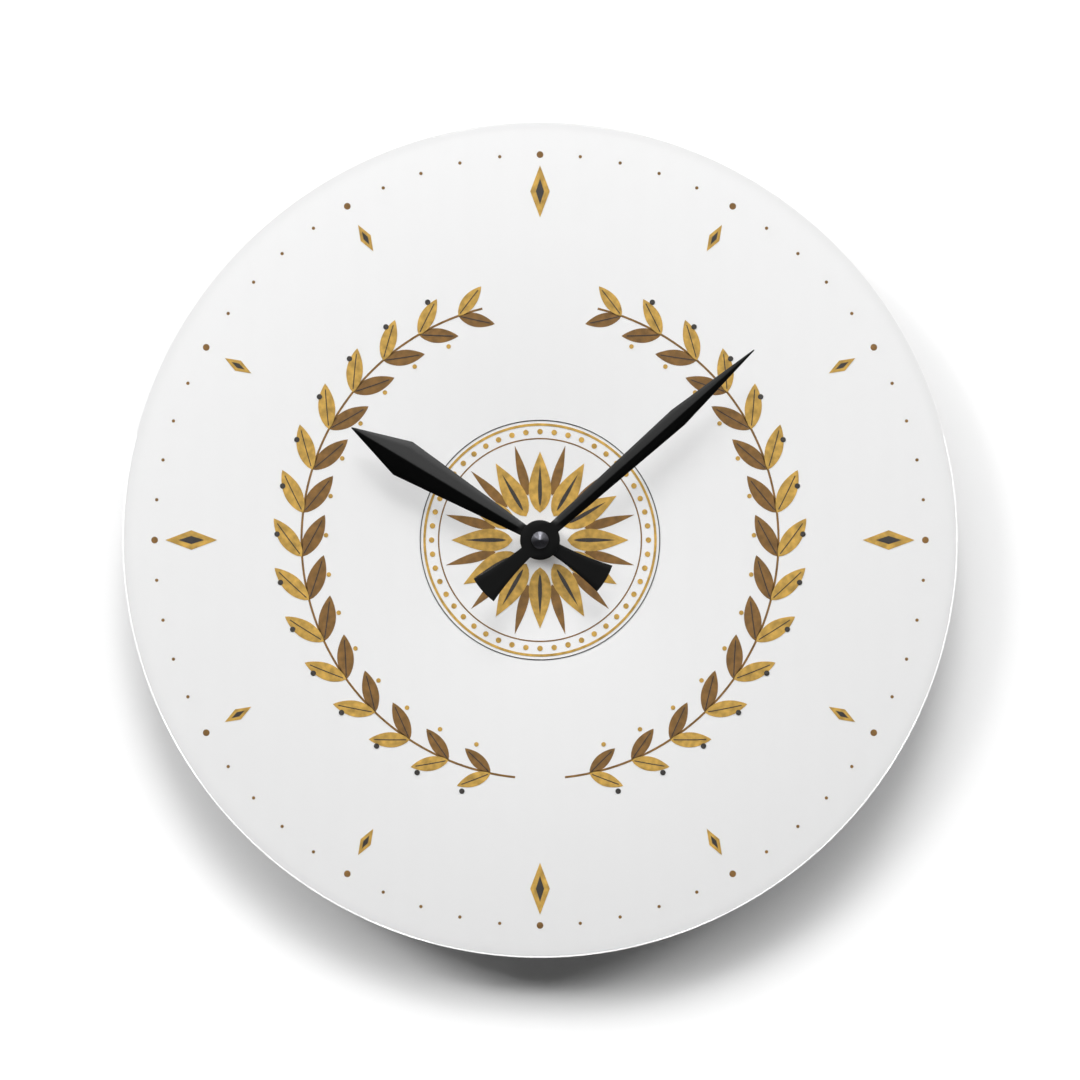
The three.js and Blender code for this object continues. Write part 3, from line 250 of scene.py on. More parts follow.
def turned(outline, sides, about_x=False, centre=(0, 0), shape=None):
    """A closed outline of (radius, depth) turned about an axis at the centre.

    At angle a the point is (radius cos a, radius sin a), carried to its depth out of the wall, or along
    X. A shape(radius, a) makes the turned form six-sided or scalloped.
    """
    turn = np.linspace(0, TURN, sides, endpoint=False)[:, None]
    radius, along = outline[None, :, 0], np.broadcast_to(outline[:, 1], (sides, len(outline)))
    if shape:
        radius = shape(radius, turn)
    across = centre[0] + radius * np.cos(turn)
    up = centre[1] + radius * np.sin(turn)
    points = np.stack([along, across, up] if about_x else [across, -along, up], axis=-1)
    return points.reshape(-1, 3), grid(sides, len(outline), True, True)


def strips(path, half, back, front):
    """Flat strips along paths of (x, z) points, cut square from a layer between two depths.

    Each point p of a path carries the rectangle p + half n, p - half n at the front and at the back,
    where n is the path's normal. Paths are stacked as copies x points x 2, half as copies x points. A
    path that ends where it starts is closed.
    """
    closed = np.allclose(path[:, 0], path[:, -1], atol=1e-3 * MM)
    if closed:
        path, half = path[:, :-1], half[:, :-1]
    run = np.roll(path, -1, axis=1) - np.roll(path, 1, axis=1) if closed else np.gradient(path, axis=1)
    run = run / np.linalg.norm(run, axis=2, keepdims=True)
    side = np.stack([-run[..., 1], run[..., 0]], axis=2) * half[..., None]
    corners = np.stack([path + side, path - side, path - side, path + side], axis=2)
    depth = np.broadcast_to([front, front, back, back], corners.shape[:3])
    points = np.stack([corners[..., 0], -depth, corners[..., 1]], axis=3)
    copies, count = path.shape[:2]
    faces = grid(count, 4, closed, True)
    if not closed:
        ends = np.array([[3, 2, 1, 0], [0, 1, 2, 3]])
        faces = np.vstack([faces, ends + [[0], [4 * (count - 1)]]])
    faces = faces[None] + (np.arange(copies) * count * 4)[:, None, None]
    return points.reshape(-1, 3), faces.reshape(-1, 4)


def spun(path, clock_angles):
    """A path turned about the dial's middle to each clock angle: x cos a + z sin a, z cos a - x sin a."""
    cos, sin = np.cos(clock_angles)[:, None], np.sin(clock_angles)[:, None]
    x, z = path[..., 0], path[..., 1]
    return np.stack([x * cos + z * sin, z * cos - x * sin], axis=-1)


def stamped(station, half, hole, sheet, ease, place):
    """A stamped sheet, the same on both sides of its middle line.

    At each station it reaches from the hole's half width to its own half width, over the top, round
    the eased edge and back below. place(x, station, below) says where that point lies.
    """
    share = np.array([0, 0.01, 0.03, 0.06, 0.12, 0.3, 0.6, 1])
    bend = np.linspace(0, math.pi / 2, 4)
    zero = np.zeros_like(share)
    share = np.concatenate([share, np.ones(2 * len(bend)), share[::-1]])
    out = ease * np.concatenate([zero, np.sin(bend), np.cos(bend), zero])
    under = ease * (1 - np.cos(bend))
    below = np.concatenate([zero, under, sheet - under[::-1], zero + sheet])
    x = hole[:, None] + share * (half - ease - hole)[:, None] + out
    rows, columns = x.shape
    along, below = np.broadcast_to(station[:, None], x.shape), np.broadcast_to(below, x.shape)
    skin = grid(rows, columns)
    bored = hole > 1e-5 * MM
    row = np.arange(rows - 1)[bored[:-1] | bored[1:]] * columns
    wall = np.stack([row + columns - 1, row, row + columns, row + 2 * columns - 1], axis=1)
    column = np.arange(columns // 2 - 1)
    cap = np.stack([column, column + 1, columns - 2 - column, columns - 1 - column], axis=1)
    faces = np.vstack([skin, wall, cap, cap + (rows - 1) * columns])
    sides = [(place(sign * x, along, below).reshape(-1, 3), faces) for sign in (1, -1)]
    return gather(*sides)


def piece(name, shape, material, body, stands_for=(), sharp=math.radians(30)):
    """A finished mesh that rides on a CAD body and takes the place of CAD nodes."""
    points, faces = shape
    mesh = bpy.data.meshes.new(name)
    mesh.from_pydata(points.tolist(), [], faces.tolist())
    work = bmesh.new()
    work.from_mesh(mesh)
    bmesh.ops.remove_doubles(work, verts=work.verts, dist=1e-4 * MM)
    bmesh.ops.recalc_face_normals(work, faces=work.faces)
    work.to_mesh(mesh)
    work.free()
    mounted(name, mesh, material, body, stands_for, sharp)


def mounted(name, mesh, material, body, stands_for, sharp):
    """Puts a mesh into the scene as a piece of the clock."""
    mesh.shade_smooth()
    if sharp:
        mesh.set_sharp_from_angle(angle=sharp)
    mesh.materials.clear()
    mesh.materials.append(material)
    made = bpy.data.objects.new(name, mesh)
    bpy.context.scene.collection.objects.link(made)
    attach(made, body)
    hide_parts(*stands_for)


def softened(node_name, name, width, material, body, chosen, move=None):
    """A CAD node's own solid, with flat faces in few triangles and the chosen sharp edges rounded.

    chosen(ends) says which edges, for their end points as edges x 2 x 3. Each corner's normal is the mean
    of its faces' normals by area, so that flat faces shade flat.
    """
    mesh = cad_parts[node_name].data.copy()
    if move:
        mesh.vertices.foreach_set("co", move(points_of(mesh)).ravel())
    work = bmesh.new()
    work.from_mesh(mesh)
    bmesh.ops.remove_doubles(work, verts=work.verts, dist=1e-3 * MM)
    bmesh.ops.dissolve_limit(work, angle_limit=math.radians(1), verts=work.verts, edges=work.edges)
    bmesh.ops.triangulate(work, faces=work.faces)
    sharp = np.array([edge.calc_face_angle(0) for edge in work.edges]) > math.radians(40)
    work.to_mesh(mesh)
    work.free()
    mesh.shade_smooth()
    ends = np.empty((len(mesh.edges), 2), np.int32)
    mesh.edges.foreach_get("vertices", ends.ravel())
    weight = mesh.attributes.new("bevel_weight_edge", "FLOAT", "EDGE")
    weight.data.foreach_set("value", (sharp & chosen(points_of(mesh)[ends])).astype(np.float32))
    rough = bpy.data.objects.new(name + "_blank", mesh)
    bpy.context.scene.collection.objects.link(rough)
    bevel = rough.modifiers.new("Eased edges", "BEVEL")
    bevel.width = width
    bevel.segments = 3
    bevel.limit_method = "WEIGHT"
    bevel.use_clamp_overlap = False
    bevel.miter_outer = "MITER_ARC"
    rough.modifiers.new("Flat faces", "WEIGHTED_NORMAL")
    ready = rough.evaluated_get(bpy.context.evaluated_depsgraph_get())
    eased_mesh = bpy.data.meshes.new_from_object(ready)
    bpy.data.objects.remove(rough)
    mounted(name, eased_mesh, material, body, (node_name,), None)


# Materials

LOW, HIGH = 0.3, 0.7  # a noise keeps mostly between these


def node(tree, kind, inputs=(), out=0, **settings):
    """Adds a node with its properties, fills its inputs with values or links, and gives one output.

    The inputs come in their order, or by name or number.
    """
    made = tree.nodes.new("ShaderNode" + kind)
    for name, value in settings.items():
        setattr(made, name, value)
    for name, value in inputs.items() if isinstance(inputs, dict) else enumerate(inputs):
        if isinstance(value, bpy.types.NodeSocket):
            tree.links.new(value, made.inputs[name])
        else:
            made.inputs[name].default_value = value
    return made.outputs[out] if made.outputs else None


def rgba(light, share=1.0):
    """A share of a linear colour, as a socket takes it."""
    return (*(share * c for c in light), 1)


def waves(pitch):
    """Scale at which a wave texture's lines lie a pitch apart."""
    return math.pi / (10 * pitch)


def blank(name):
    """A new material with no nodes, what adds a node to it, and the place of a point on the piece."""
    made = bpy.data.materials.new(name)
    made.use_nodes = True
    made.node_tree.nodes.clear()
    add = functools.partial(node, made.node_tree)
    return made, add, add("TexCoord", out="Object")


def finished(add, **inputs):
    """Ends a material in a Principled shader with its sockets filled."""
    shader = add("BsdfPrincipled", {name.replace("_", " "): value for name, value in inputs.items()})
    add("OutputMaterial", (shader,))


def surface(name, light, dark_share, gloss, patch, grit, relief, stretch=(1, 1, 1), **inputs):
    """A finish whose colour drifts in patches, with a finer grit in its gloss and its relief.

    The patches run between the colour and its dark share, the grit between two roughnesses. Patch and
    grit are widths, and relief is the depth of the grit. The stretch draws the grit out along an axis.
    """
    made, add, place = blank(name)
    patches = add("TexNoise", {"Vector": place, "Scale": 1 / patch, "Detail": 4.0})
    share = add("MapRange", (patches, LOW, HIGH))
    tone = add("Mix", {0: share, 6: rgba(light, dark_share), 7: rgba(light)}, 2, data_type="RGBA")
    drawn = add("Mapping", {"Vector": place, "Scale": [1 / s for s in stretch]})
    grains = add("TexNoise", {"Vector": drawn, "Scale": 1 / grit, "Detail": 2.0})
    rough = add("MapRange", (grains, LOW, HIGH, *gloss))
    bump = add("Bump", {"Height": grains, "Distance": relief})
    finished(add, Base_Color=tone, Roughness=rough, Normal=bump, **inputs)
    return made


def cast_acrylic(settings):
    """Cast acrylic sheet, polished: water clear, IOR 1.49, with a breath of haze from wiping.

    Rays to the lamps and rays that the print scatters pass it straight, so that the print is lit evenly.
    All rays pass the back face straight, where the bonded print leaves no air to turn them.
    """
    made, add, place = blank("cast_acrylic")
    tint = rgba(settings.acrylic)
    haze = add("TexNoise", {"Vector": place, "Scale": 1 / (30 * MM)})
    rough = add("MapRange", (haze, 0.0, 1.0, 0.012, 0.024))
    sheet = add(
        "BsdfPrincipled", {"Base Color": tint, "Roughness": rough, "IOR": 1.49, "Transmission Weight": 1.0})
    path = add("LightPath").node.outputs
    past = add("Math", (path["Is Shadow Ray"], path["Is Diffuse Ray"]), operation="MAXIMUM")
    back = -depths("dial_plate")[0] - TOUCH
    bonded = add("Math", (add("SeparateXYZ", (place,), "Y"), back), operation="GREATER_THAN")
    straight = add("Math", (past, bonded), operation="MAXIMUM")
    clear = add("BsdfTransparent", (tint,))
    add("OutputMaterial", (add("MixShader", (straight, sheet, clear)),))
    return made


def white_ink(settings):
    """White ultraviolet-cured ink: dense, satin, with the faint bands of the print head's passes.

    Its colour is painted greyer over the last millimetres to the rim, as painted shade of the acrylic's
    edge.
    """
    made, add, place = blank("white_uv_ink")
    # The last share, 0.93, is painted shade for the band along the rim.
    white, banded, rim_shade_colour = (rgba(settings.white, share) for share in (1.0, 0.994, 0.93))
    swath, rim_shade_width = 9 * MM, 4 * MM
    bands = add(
        "TexWave", {"Vector": place, "Scale": waves(swath), "Distortion": 1.5, "Detail": 1.0}, "Fac",
        bands_direction="X")
    tone = add("Mix", {0: bands, 6: white, 7: banded}, 2, data_type="RGBA")
    level = add("VectorMath", (place, (1, 0, 1)), operation="MULTIPLY")
    reach = add("VectorMath", (level,), "Value", operation="LENGTH")
    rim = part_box("dial_plate")[1].x
    # Painted shade: the white darkens towards the rim over the last millimetres.
    edge = add("MapRange", (reach, rim - rim_shade_width, rim), interpolation_type="SMOOTHSTEP")
    rim_shaded = add("Mix", {0: edge, 6: tone, 7: rim_shade_colour}, 2, data_type="RGBA")
    pores = add("TexNoise", {"Vector": place, "Scale": 1 / (0.5 * MM)})
    bump = add("Bump", {"Height": pores, "Distance": 0.001 * MM})
    finished(add, Base_Color=rim_shaded, Roughness=0.5, Normal=bump)
    return made


def printed_ink(name, light, dark_share):
    """Coloured ink in an antique wash: cloudy darker patches and the dots of the print head."""
    return surface(name, light, dark_share, (0.4, 0.6), 2.4 * MM, 0.3 * MM, 0.004 * MM)


def stoved_paint(settings):
    """Satin black stove paint on aluminium sheet: a soft broad sheen and a trace of orange peel."""
    return surface(
        "satin_black_paint", settings.paint, 0.85, (0.3, 0.36), 6 * MM, 0.6 * MM, 0.002 * MM, IOR=1.43)


def turned_metal(name, light, roughness, pitch):
    """Metal turned on a lathe: fine rings about the clock's axis, drawn coarse enough to show."""
    made, add, place = blank(name)
    rings = add(
        "TexWave", {"Vector": place, "Scale": waves(pitch), "Distortion": 0.6, "Detail": 2.0}, "Fac",
        wave_type="RINGS", rings_direction="Y")
    tone = add("Mix", {0: rings, 6: rgba(light, 0.8), 7: rgba(light)}, 2, data_type="RGBA")
    rough = add("MapRange", (rings, 0.0, 1.0, 0.85 * roughness, 1.2 * roughness))
    bump = add("Bump", {"Height": rings, "Distance": 0.001 * MM})
    finished(add, Base_Color=tone, Metallic=1.0, Roughness=rough, Normal=bump)
    return made


def rolled_metal(name, light, gloss, stretch=(1, 1, 1)):
    """Rolled and plated sheet: grain drawn out along the strip, and clouds in the plating."""
    return surface(name, light, 0.82, gloss, 6 * MM, 0.25 * MM, 0.002 * MM, stretch, Metallic=1.0)


def moulded(name, light, gloss, grit, relief):
    """Injection moulded plastic: the mould's spark-eroded grain, and tone that drifts with the flow."""
    return surface(name, light, 0.85, gloss, 14 * MM, grit, relief)


def pressed(name, light, gloss):
    """Rubber, ferrite or resin: dense, dull and finely speckled."""
    return surface(name, light, 0.6, gloss, 0.3 * MM, 0.2 * MM, 0.005 * MM)


def wound_copper():
    """Enamelled copper wire in close turns, drawn at three times its pitch so that the turns show."""
    made, add, place = blank("enamelled_copper")
    light, pitch = linear("#b5673c"), 0.35 * MM
    turns = add(
        "TexWave", {"Vector": place, "Scale": waves(pitch), "Distortion": 0.4}, "Fac", bands_direction="X")
    # Painted shade: the troughs between the turns darken to 0.35 of the copper's colour, where shade falls
    # between the wires.
    tone = add("Mix", {0: turns, 6: rgba(light, 0.35), 7: rgba(light)}, 2, data_type="RGBA")
    bump = add("Bump", {"Height": turns, "Distance": 0.1 * MM})
    finished(add, Base_Color=tone, Metallic=1.0, Roughness=0.3, Normal=bump)
    return made


def shrunk_film(settings):
    """Printed shrink film on a cell: pale and glossy, with one plain band at the nub's end."""
    made, add, place = blank("shrink_film")
    edge = middle("battery_cell").x + 9 * MM
    band = add("Math", (add("SeparateXYZ", (place,), "X"), edge), operation="GREATER_THAN")
    tone = add("Mix", {0: band, 6: rgba(settings.wrap), 7: rgba(settings.band)}, 2, data_type="RGBA")
    drawn = add("Mapping", {"Vector": place, "Scale": (1 / 6, 1, 1)})
    creases = add("TexNoise", {"Vector": drawn, "Scale": 1 / (1.2 * MM)})
    bump = add("Bump", {"Height": creases, "Distance": 0.006 * MM})
    finished(add, Base_Color=tone, Roughness=0.25, Normal=bump, Coat_Weight=0.4)
    return made


def sight(add):
    """1 for the eye's rays before any scatter, by way of gloss or clear acrylic too; and all ray facts."""
    path = add("LightPath").node.outputs
    clear = add("Math", (path["Is Glossy Ray"], path["Is Transmission Ray"]), operation="MAXIMUM")
    seen = add("Math", (clear, path["Is Camera Ray"]), operation="MAXIMUM")
    first = add("Math", (path["Diffuse Depth"], 0.5), operation="LESS_THAN")
    return add("Math", (seen, first), operation="MULTIPLY"), path


def matt_paint(name, light, one_sided):
    """Matt emulsion, a little brighter to the eye so that it reads as white where it is lit.

    A one-sided wall shows nothing from behind, and scattered rays pass it. So do the rays to a lamp
    that start from what the eye sees, and so the lamp behind it lights the clock's back and not the gap
    in front. Behind the dial it is half clear to reflections, so that the clock's back shows the room in
    its gloss.
    """
    made, add, place = blank(name)
    scattered, shown_share, half_clear = 0.45, 1.3, 0.45
    seen, path = sight(add)
    lift = add(
        "Mix", {0: seen, 6: rgba(light, scattered), 7: rgba(light, shown_share)}, 2, data_type="RGBA")
    shown = add("BsdfDiffuse", (lift,))
    if one_sided:
        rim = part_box("dial_plate")[1].x
        first = add("Math", (path["Diffuse Depth"], 0.5), operation="LESS_THAN")
        lamp = add("Math", (path["Is Shadow Ray"], first), operation="MULTIPLY")
        past = add("Math", (path["Is Diffuse Ray"], lamp), operation="MAXIMUM")
        reach = add("VectorMath", (place,), "Value", operation="LENGTH")
        hidden = add("MapRange", (reach, 0.9 * rim, 0.95 * rim, half_clear, 0.0))
        gloss = add("Math", (path["Is Glossy Ray"], hidden), operation="MULTIPLY")
        passed = add("Math", (past, gloss), operation="MAXIMUM")
        behind = add("NewGeometry", out="Backfacing")
        gone = add("Math", (behind, passed), operation="MAXIMUM")
        shown = add("MixShader", (gone, shown, add("BsdfTransparent")))
    add("OutputMaterial", (shown,))
    return made


# Pieces

def flat_ring(name, node_name, ease, sides, material, body):
    """A flat ring about the clock's axis, its edges eased, in the place of a CAD node."""
    back, front = depths(node_name)
    bore, rim = bore_of(node_name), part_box(node_name)[1].x
    corners = [(bore, back, ease), (rim, back, ease), (rim, front, ease), (bore, front, ease)]
    piece(name, turned(eased(corners), sides), material, body, (node_name,))


class CLOCK_OT_dial(Operator):
    """Acrylic disc with polished edges and the white coat on its back"""

    bl_idname = "clock.dial"
    bl_label = "Dial"

    def execute(self, context):
        settings = context.scene.clock.dial
        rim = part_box("dial_plate")[1].x
        bore = bore_of("dial_plate")
        back, front = depths("dial_plate")
        cut, ease = settings.chamfer, settings.edge_ease
        corners = [
            (bore, back, ease), (rim, back, ease), (rim, front - cut, ease), (rim - cut, front, ease),
            (bore, front, ease),
        ]
        piece(
            "acrylic_disc", turned(eased(corners), 360), cast_acrylic(settings), BODY,
            ("dial_plate",))
        back, front = depths("dial_print")
        flat_ring(
            "white_coat", "dial_print", (front - back) / 3, 360, white_ink(settings), BODY)
        return {"FINISHED"}


def lozenges(radius, long, wide, clock_angles):
    """Diamonds that point to the middle: half width (1 - |t|) wide / 2 for t from -1 to 1."""
    t = np.linspace(-1, 1, 9)
    path = np.stack([0 * t, radius + t * long / 2], axis=1)
    half = np.broadcast_to((1 - np.abs(t)) * wide / 2, (len(clock_angles), len(t)))
    return spun(path, clock_angles), half


def dots(radius, size, clock_angles):
    """Round dots on a ring: half width cos a at sin a along, times the dot's radius."""
    a = np.linspace(-math.pi / 2, math.pi / 2, 11)
    size = np.broadcast_to(size, (len(clock_angles),))[:, None]
    path = np.stack([np.broadcast_to(0 * a, (len(size), len(a))), radius + size * np.sin(a)], axis=2)
    return spun(path, clock_angles), size * np.cos(a)


def petals(inner, outer, wide, clock_angles):
    """Petals along the radius: half width sin(pi t^0.7) wide / 2 for t from 0 to 1."""
    t = np.linspace(0, 1, 17)
    path = np.stack([0 * t, inner + t * (outer - inner)], axis=1)
    half = np.broadcast_to(np.sin(math.pi * t ** 0.7) * wide / 2, (len(clock_angles), len(t)))
    return spun(path, clock_angles), half


def ring(radius, wide):
    """A closed ring of even width."""
    a = np.linspace(0, TURN, 241)
    path = radius * np.stack([np.sin(a), np.cos(a)], axis=1)[None]
    return path, np.full((1, len(a)), wide / 2)


def leaves(radius, long, lean, clock_angles, side):
    """Leaves on a branch that climbs one side of the dial.

    A leaf leaves the stem at its lean, bends back by a tenth of its length, and is sin(pi t) ^ 0.85
    wide, fullest before its middle.
    """
    t = np.linspace(0, 1, 15)
    forward = long[:, None] * (t * math.cos(lean) - 0.1 * t ** 2 * math.sin(abs(lean)))
    outward = long[:, None] * (t * math.sin(lean) - 0.12 * t ** 2 * math.sin(lean))
    path = np.stack([-side * forward, radius + outward], axis=2)
    half = long[:, None] * 0.17 * np.sin(math.pi * t ** 0.85) ** 0.85
    return spun(path, side * clock_angles), half


class CLOCK_OT_ornament(Operator):
    """Ornament behind the acrylic: markers, minute dots, a leaf wreath and a petal rosette"""

    bl_idname = "clock.ornament"
    bl_label = "Ornament"

    def execute(self, context):
        settings = context.scene.clock.ornament
        dark_shares = {"bronze": 0.55, "gold": 0.5, "charcoal": 0.7}
        white, acrylic = depths("dial_print")[1], depths("dial_plate")[0]
        gap = (acrylic - white - len(dark_shares) * settings.ink) / (len(dark_shares) + 1)
        groups = self.markers(settings), self.wreath(settings), self.rosette(settings)
        for level, (name, dark_share) in enumerate(dark_shares.items()):
            back = white + gap + level * (settings.ink + gap)
            front = back + settings.ink
            shapes = [strips(*shape, back, front) for group in groups for shape in group[name]]
            ink = printed_ink(name + "_ink", getattr(settings, name), dark_share)
            piece(name + "_print", gather(*shapes), ink, BODY)
        return {"FINISHED"}

    def markers(self, settings):
        """Twelve lozenges, the quarters larger, with a dark core, and a ring of minute dots."""
        hours = np.arange(12) * TURN / 12
        quarters, rest = hours[::3], np.delete(hours, slice(None, None, 3))
        sizes = ((quarters, 17 * MM, 6.4 * MM), (rest, 10 * MM, 3.8 * MM))
        radius = settings.marker_radius
        minutes = np.arange(60)
        size = np.where(minutes % 5 == 0, 1.1, 0.55) * MM
        return {
            "gold": [lozenges(radius, long, wide, at) for at, long, wide in sizes],
            "charcoal": [lozenges(radius, 0.5 * long, 0.42 * wide, at) for at, long, wide in sizes],
            "bronze": [dots(settings.track_radius, size, minutes * TURN / 60)],
        }

    def wreath(self, settings):
        """Two branches of paired leaves with veins, and berries between the pairs.

        The pairs run from the foot to the top, in degrees of clock angle, and the stem past both.
        """
        foot, top, past = 168, 20, 6
        lean, stem_half, vein_half, berry_off = math.radians(34), 0.35 * MM, 0.16 * MM, 8 * MM
        at = np.radians(np.linspace(foot, top, settings.leaves))
        long = settings.leaf * (0.62 + 0.38 * np.sin(np.linspace(0.35, 2.7, settings.leaves)))
        radius = settings.wreath_radius
        stem = np.radians(np.linspace(foot + past, top - past, 90))
        inks = {"gold": [], "bronze": [], "charcoal": []}
        for side in (1, -1):
            path = radius * np.stack([side * np.sin(stem), np.cos(stem)], axis=1)[None]
            inks["bronze"].append((path, np.full((1, len(stem)), stem_half)))
            for sign, ink in ((1, "gold"), (-1, "bronze")):
                path, half = leaves(radius, long, sign * lean, at, side)
                inks[ink].append((path, half))
                inks["charcoal"].append((path[:, 1:-2], np.full(half[:, 1:-2].shape, vein_half)))
            between_pairs = side * (at[:-1] + at[1:]) / 2
            inks["charcoal"].append(dots(radius + berry_off, 0.9 * MM, between_pairs))
            inks["gold"].append(dots(radius - berry_off, 0.75 * MM, between_pairs))
        return inks

    def rosette(self, settings):
        """Twelve broad petals and twelve slim ones inside beads and hairline rings."""
        reach = settings.rosette_radius
        turns = np.arange(12) * TURN / 12
        beads = np.arange(48) * TURN / 48
        return {
            "gold": [
                petals(9 * MM, reach, 7.4 * MM, turns), dots(reach + 6.5 * MM, 0.9 * MM, beads),
                ring(reach + 8.8 * MM, 0.8 * MM)],
            "charcoal": [
                petals(11 * MM, reach * 0.86, 1.3 * MM, turns), ring(reach + 10.2 * MM, 0.3 * MM)],
            "bronze": [
                petals(15 * MM, reach + 3 * MM, 3.2 * MM, turns + TURN / 24),
                ring(reach + 4.2 * MM, 0.45 * MM)],
        }


class CLOCK_OT_hands(Operator):
    """Hour and minute hands: folded lances with flat hubs and fanned tails"""

    bl_idname = "clock.hands"
    bl_label = "Hands"

    def execute(self, context):
        settings = context.scene.clock.hands
        paint = stoved_paint(settings)
        parts = ("_reach", "_shoulder_at", "_width", "_neck", "_turn")
        for name in ("hour", "minute"):
            node_name = name + "_hand"
            size = [getattr(settings, name + part) for part in parts]
            sheet = self.lance(settings, *size, bore_of(node_name), depths(node_name)[1])
            piece(node_name + "_sheet", sheet, paint, name + "_work", (node_name,))
        return {"FINISHED"}

    def lance(self, settings, reach, shoulder_at, width, neck, turn, bore, front):
        """A hand along its own length, turned to its clock angle.

        Its half width is the greatest of the hub's circle, the lance's taper and the tail's fan, whose
        sides are the curves (1 - u)^2 neck + 2 u (1 - u) waist + u^2 end. Past the hub each half slopes
        back by fold (sqrt(x^2 + r^2) - r), a ridge of radius r. The tail's stations bend into arcs about
        the axis.
        """
        hub, tail = settings.hub / 2, settings.tail
        folded = hub + settings.fold_run
        ridge, ease = 0.12 * MM, 0.12 * MM
        swing = np.linspace(0, math.pi, 41)
        station = np.unique(np.concatenate([
            np.linspace(-tail, -hub, 14), -hub * np.cos(swing), -bore * np.cos(swing),
            np.linspace(hub, folded, 9), np.linspace(folded, shoulder_at, 12),
            np.linspace(shoulder_at, reach, 12)]))
        circle = np.sqrt(np.maximum(hub ** 2 - station ** 2, 0))
        halves = np.array([neck, neck, width, settings.tip]) / 2
        lance = np.interp(station, [0, hub, shoulder_at, reach], halves)
        u = np.clip((-station - hub / 2) / (tail - hub / 2), 0, 1)
        ends = (1 - u) ** 2 * settings.tail_neck + u ** 2 * settings.tail_end
        fan = (ends + 2 * u * (1 - u) * settings.tail_waist) / 2
        half = np.maximum(circle, np.where(station > 0, lance, fan))
        hole = np.sqrt(np.maximum(bore ** 2 - station ** 2, 0))

        def place(x, along, below):
            share = np.clip((along - hub) / settings.fold_run, 0, 1)
            slope = math.tan(settings.fold) * share * share * (3 - 2 * share)
            rise = slope * (np.sqrt(x ** 2 + ridge ** 2) - ridge)
            arc = np.clip((-along - hub) / (tail - hub), 0, 1)
            radius = np.maximum(np.abs(along), np.abs(x))
            length_now = along + arc * (radius - np.sqrt(radius ** 2 - x ** 2))
            across = x * math.cos(turn) + length_now * math.sin(turn)
            up = length_now * math.cos(turn) - x * math.sin(turn)
            return np.stack([across, rise + below - front, up], axis=-1)

        return stamped(station, half, hole, settings.sheet, ease, place)


class CLOCK_OT_fastenings(Operator):
    """Cap nut, hour collet, hexagon nut and the washers on the centre bush"""

    bl_idname = "clock.fastenings"
    bl_label = "Fastenings"

    def execute(self, context):
        nickel = turned_metal("black_nickel", linear("#75757b"), 0.32, 0.12 * MM)
        brass = turned_metal("turned_brass", linear("#c9a24c"), 0.3, 0.2 * MM)
        rubber = pressed("nitrile_rubber", linear("#1c1c1c"), (0.7, 0.85))
        self.cap(nickel)
        flat_ring("hour_collet", "hour_hand_collet", 0.25 * MM, 96, nickel, "hour_work")
        flat_ring("spread_washer", "brass_washer", 0.1 * MM, 96, brass, BODY)
        flat_ring("cushion_washer", "rubber_washer", 0.3 * MM, 96, rubber, BODY)
        self.nut(brass)
        return {"FINISHED"}

    def cap(self, nickel):
        """Closed cap: an upright skirt, an eased rim and a cone to a small round point."""
        back, front = depths("cap_nut")
        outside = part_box("cap_nut")[1].x
        bore = bore_of("cap_nut")
        skirt, floor = back + 1.6 * MM, back + 1.9 * MM
        point, blunt = 0.25 * MM, 0.08 * MM
        shoulder = skirt + (front + blunt - skirt) * (1 - point / outside)
        corners = [
            (0, floor, 0), (bore, floor, 0.1 * MM), (bore, back, 0.1 * MM), (outside, back, 0.15 * MM),
            (outside, skirt, 0.18 * MM), (point, shoulder, 0.1 * MM), (0, front, 0),
        ]
        piece("cap_cone", turned(eased(corners), 96), nickel, "minute_work", ("cap_nut",))

    def nut(self, brass):
        """A hexagon of radius f / cos(a) within a chamfered turned blank."""
        back, front = depths("hex_nut")
        bore = bore_of("hex_nut")
        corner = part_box("hex_nut")[1].x
        flat = corner * math.cos(math.pi / 6)
        cut = 0.5 * MM
        corners = [
            (bore, back, 0.2 * MM), (flat, back, 0.05 * MM), (corner, back + cut, 0.05 * MM),
            (corner, front - cut, 0.05 * MM), (flat, front, 0.05 * MM), (bore, front, 0.2 * MM),
        ]

        def six_sided(radius, turn):
            return np.minimum(radius, flat / np.cos(turn % (math.pi / 3) - math.pi / 6))

        piece(
            "bush_nut", turned(eased(corners), 144, shape=six_sided), brass, BODY, ("hex_nut",),
            math.radians(25))


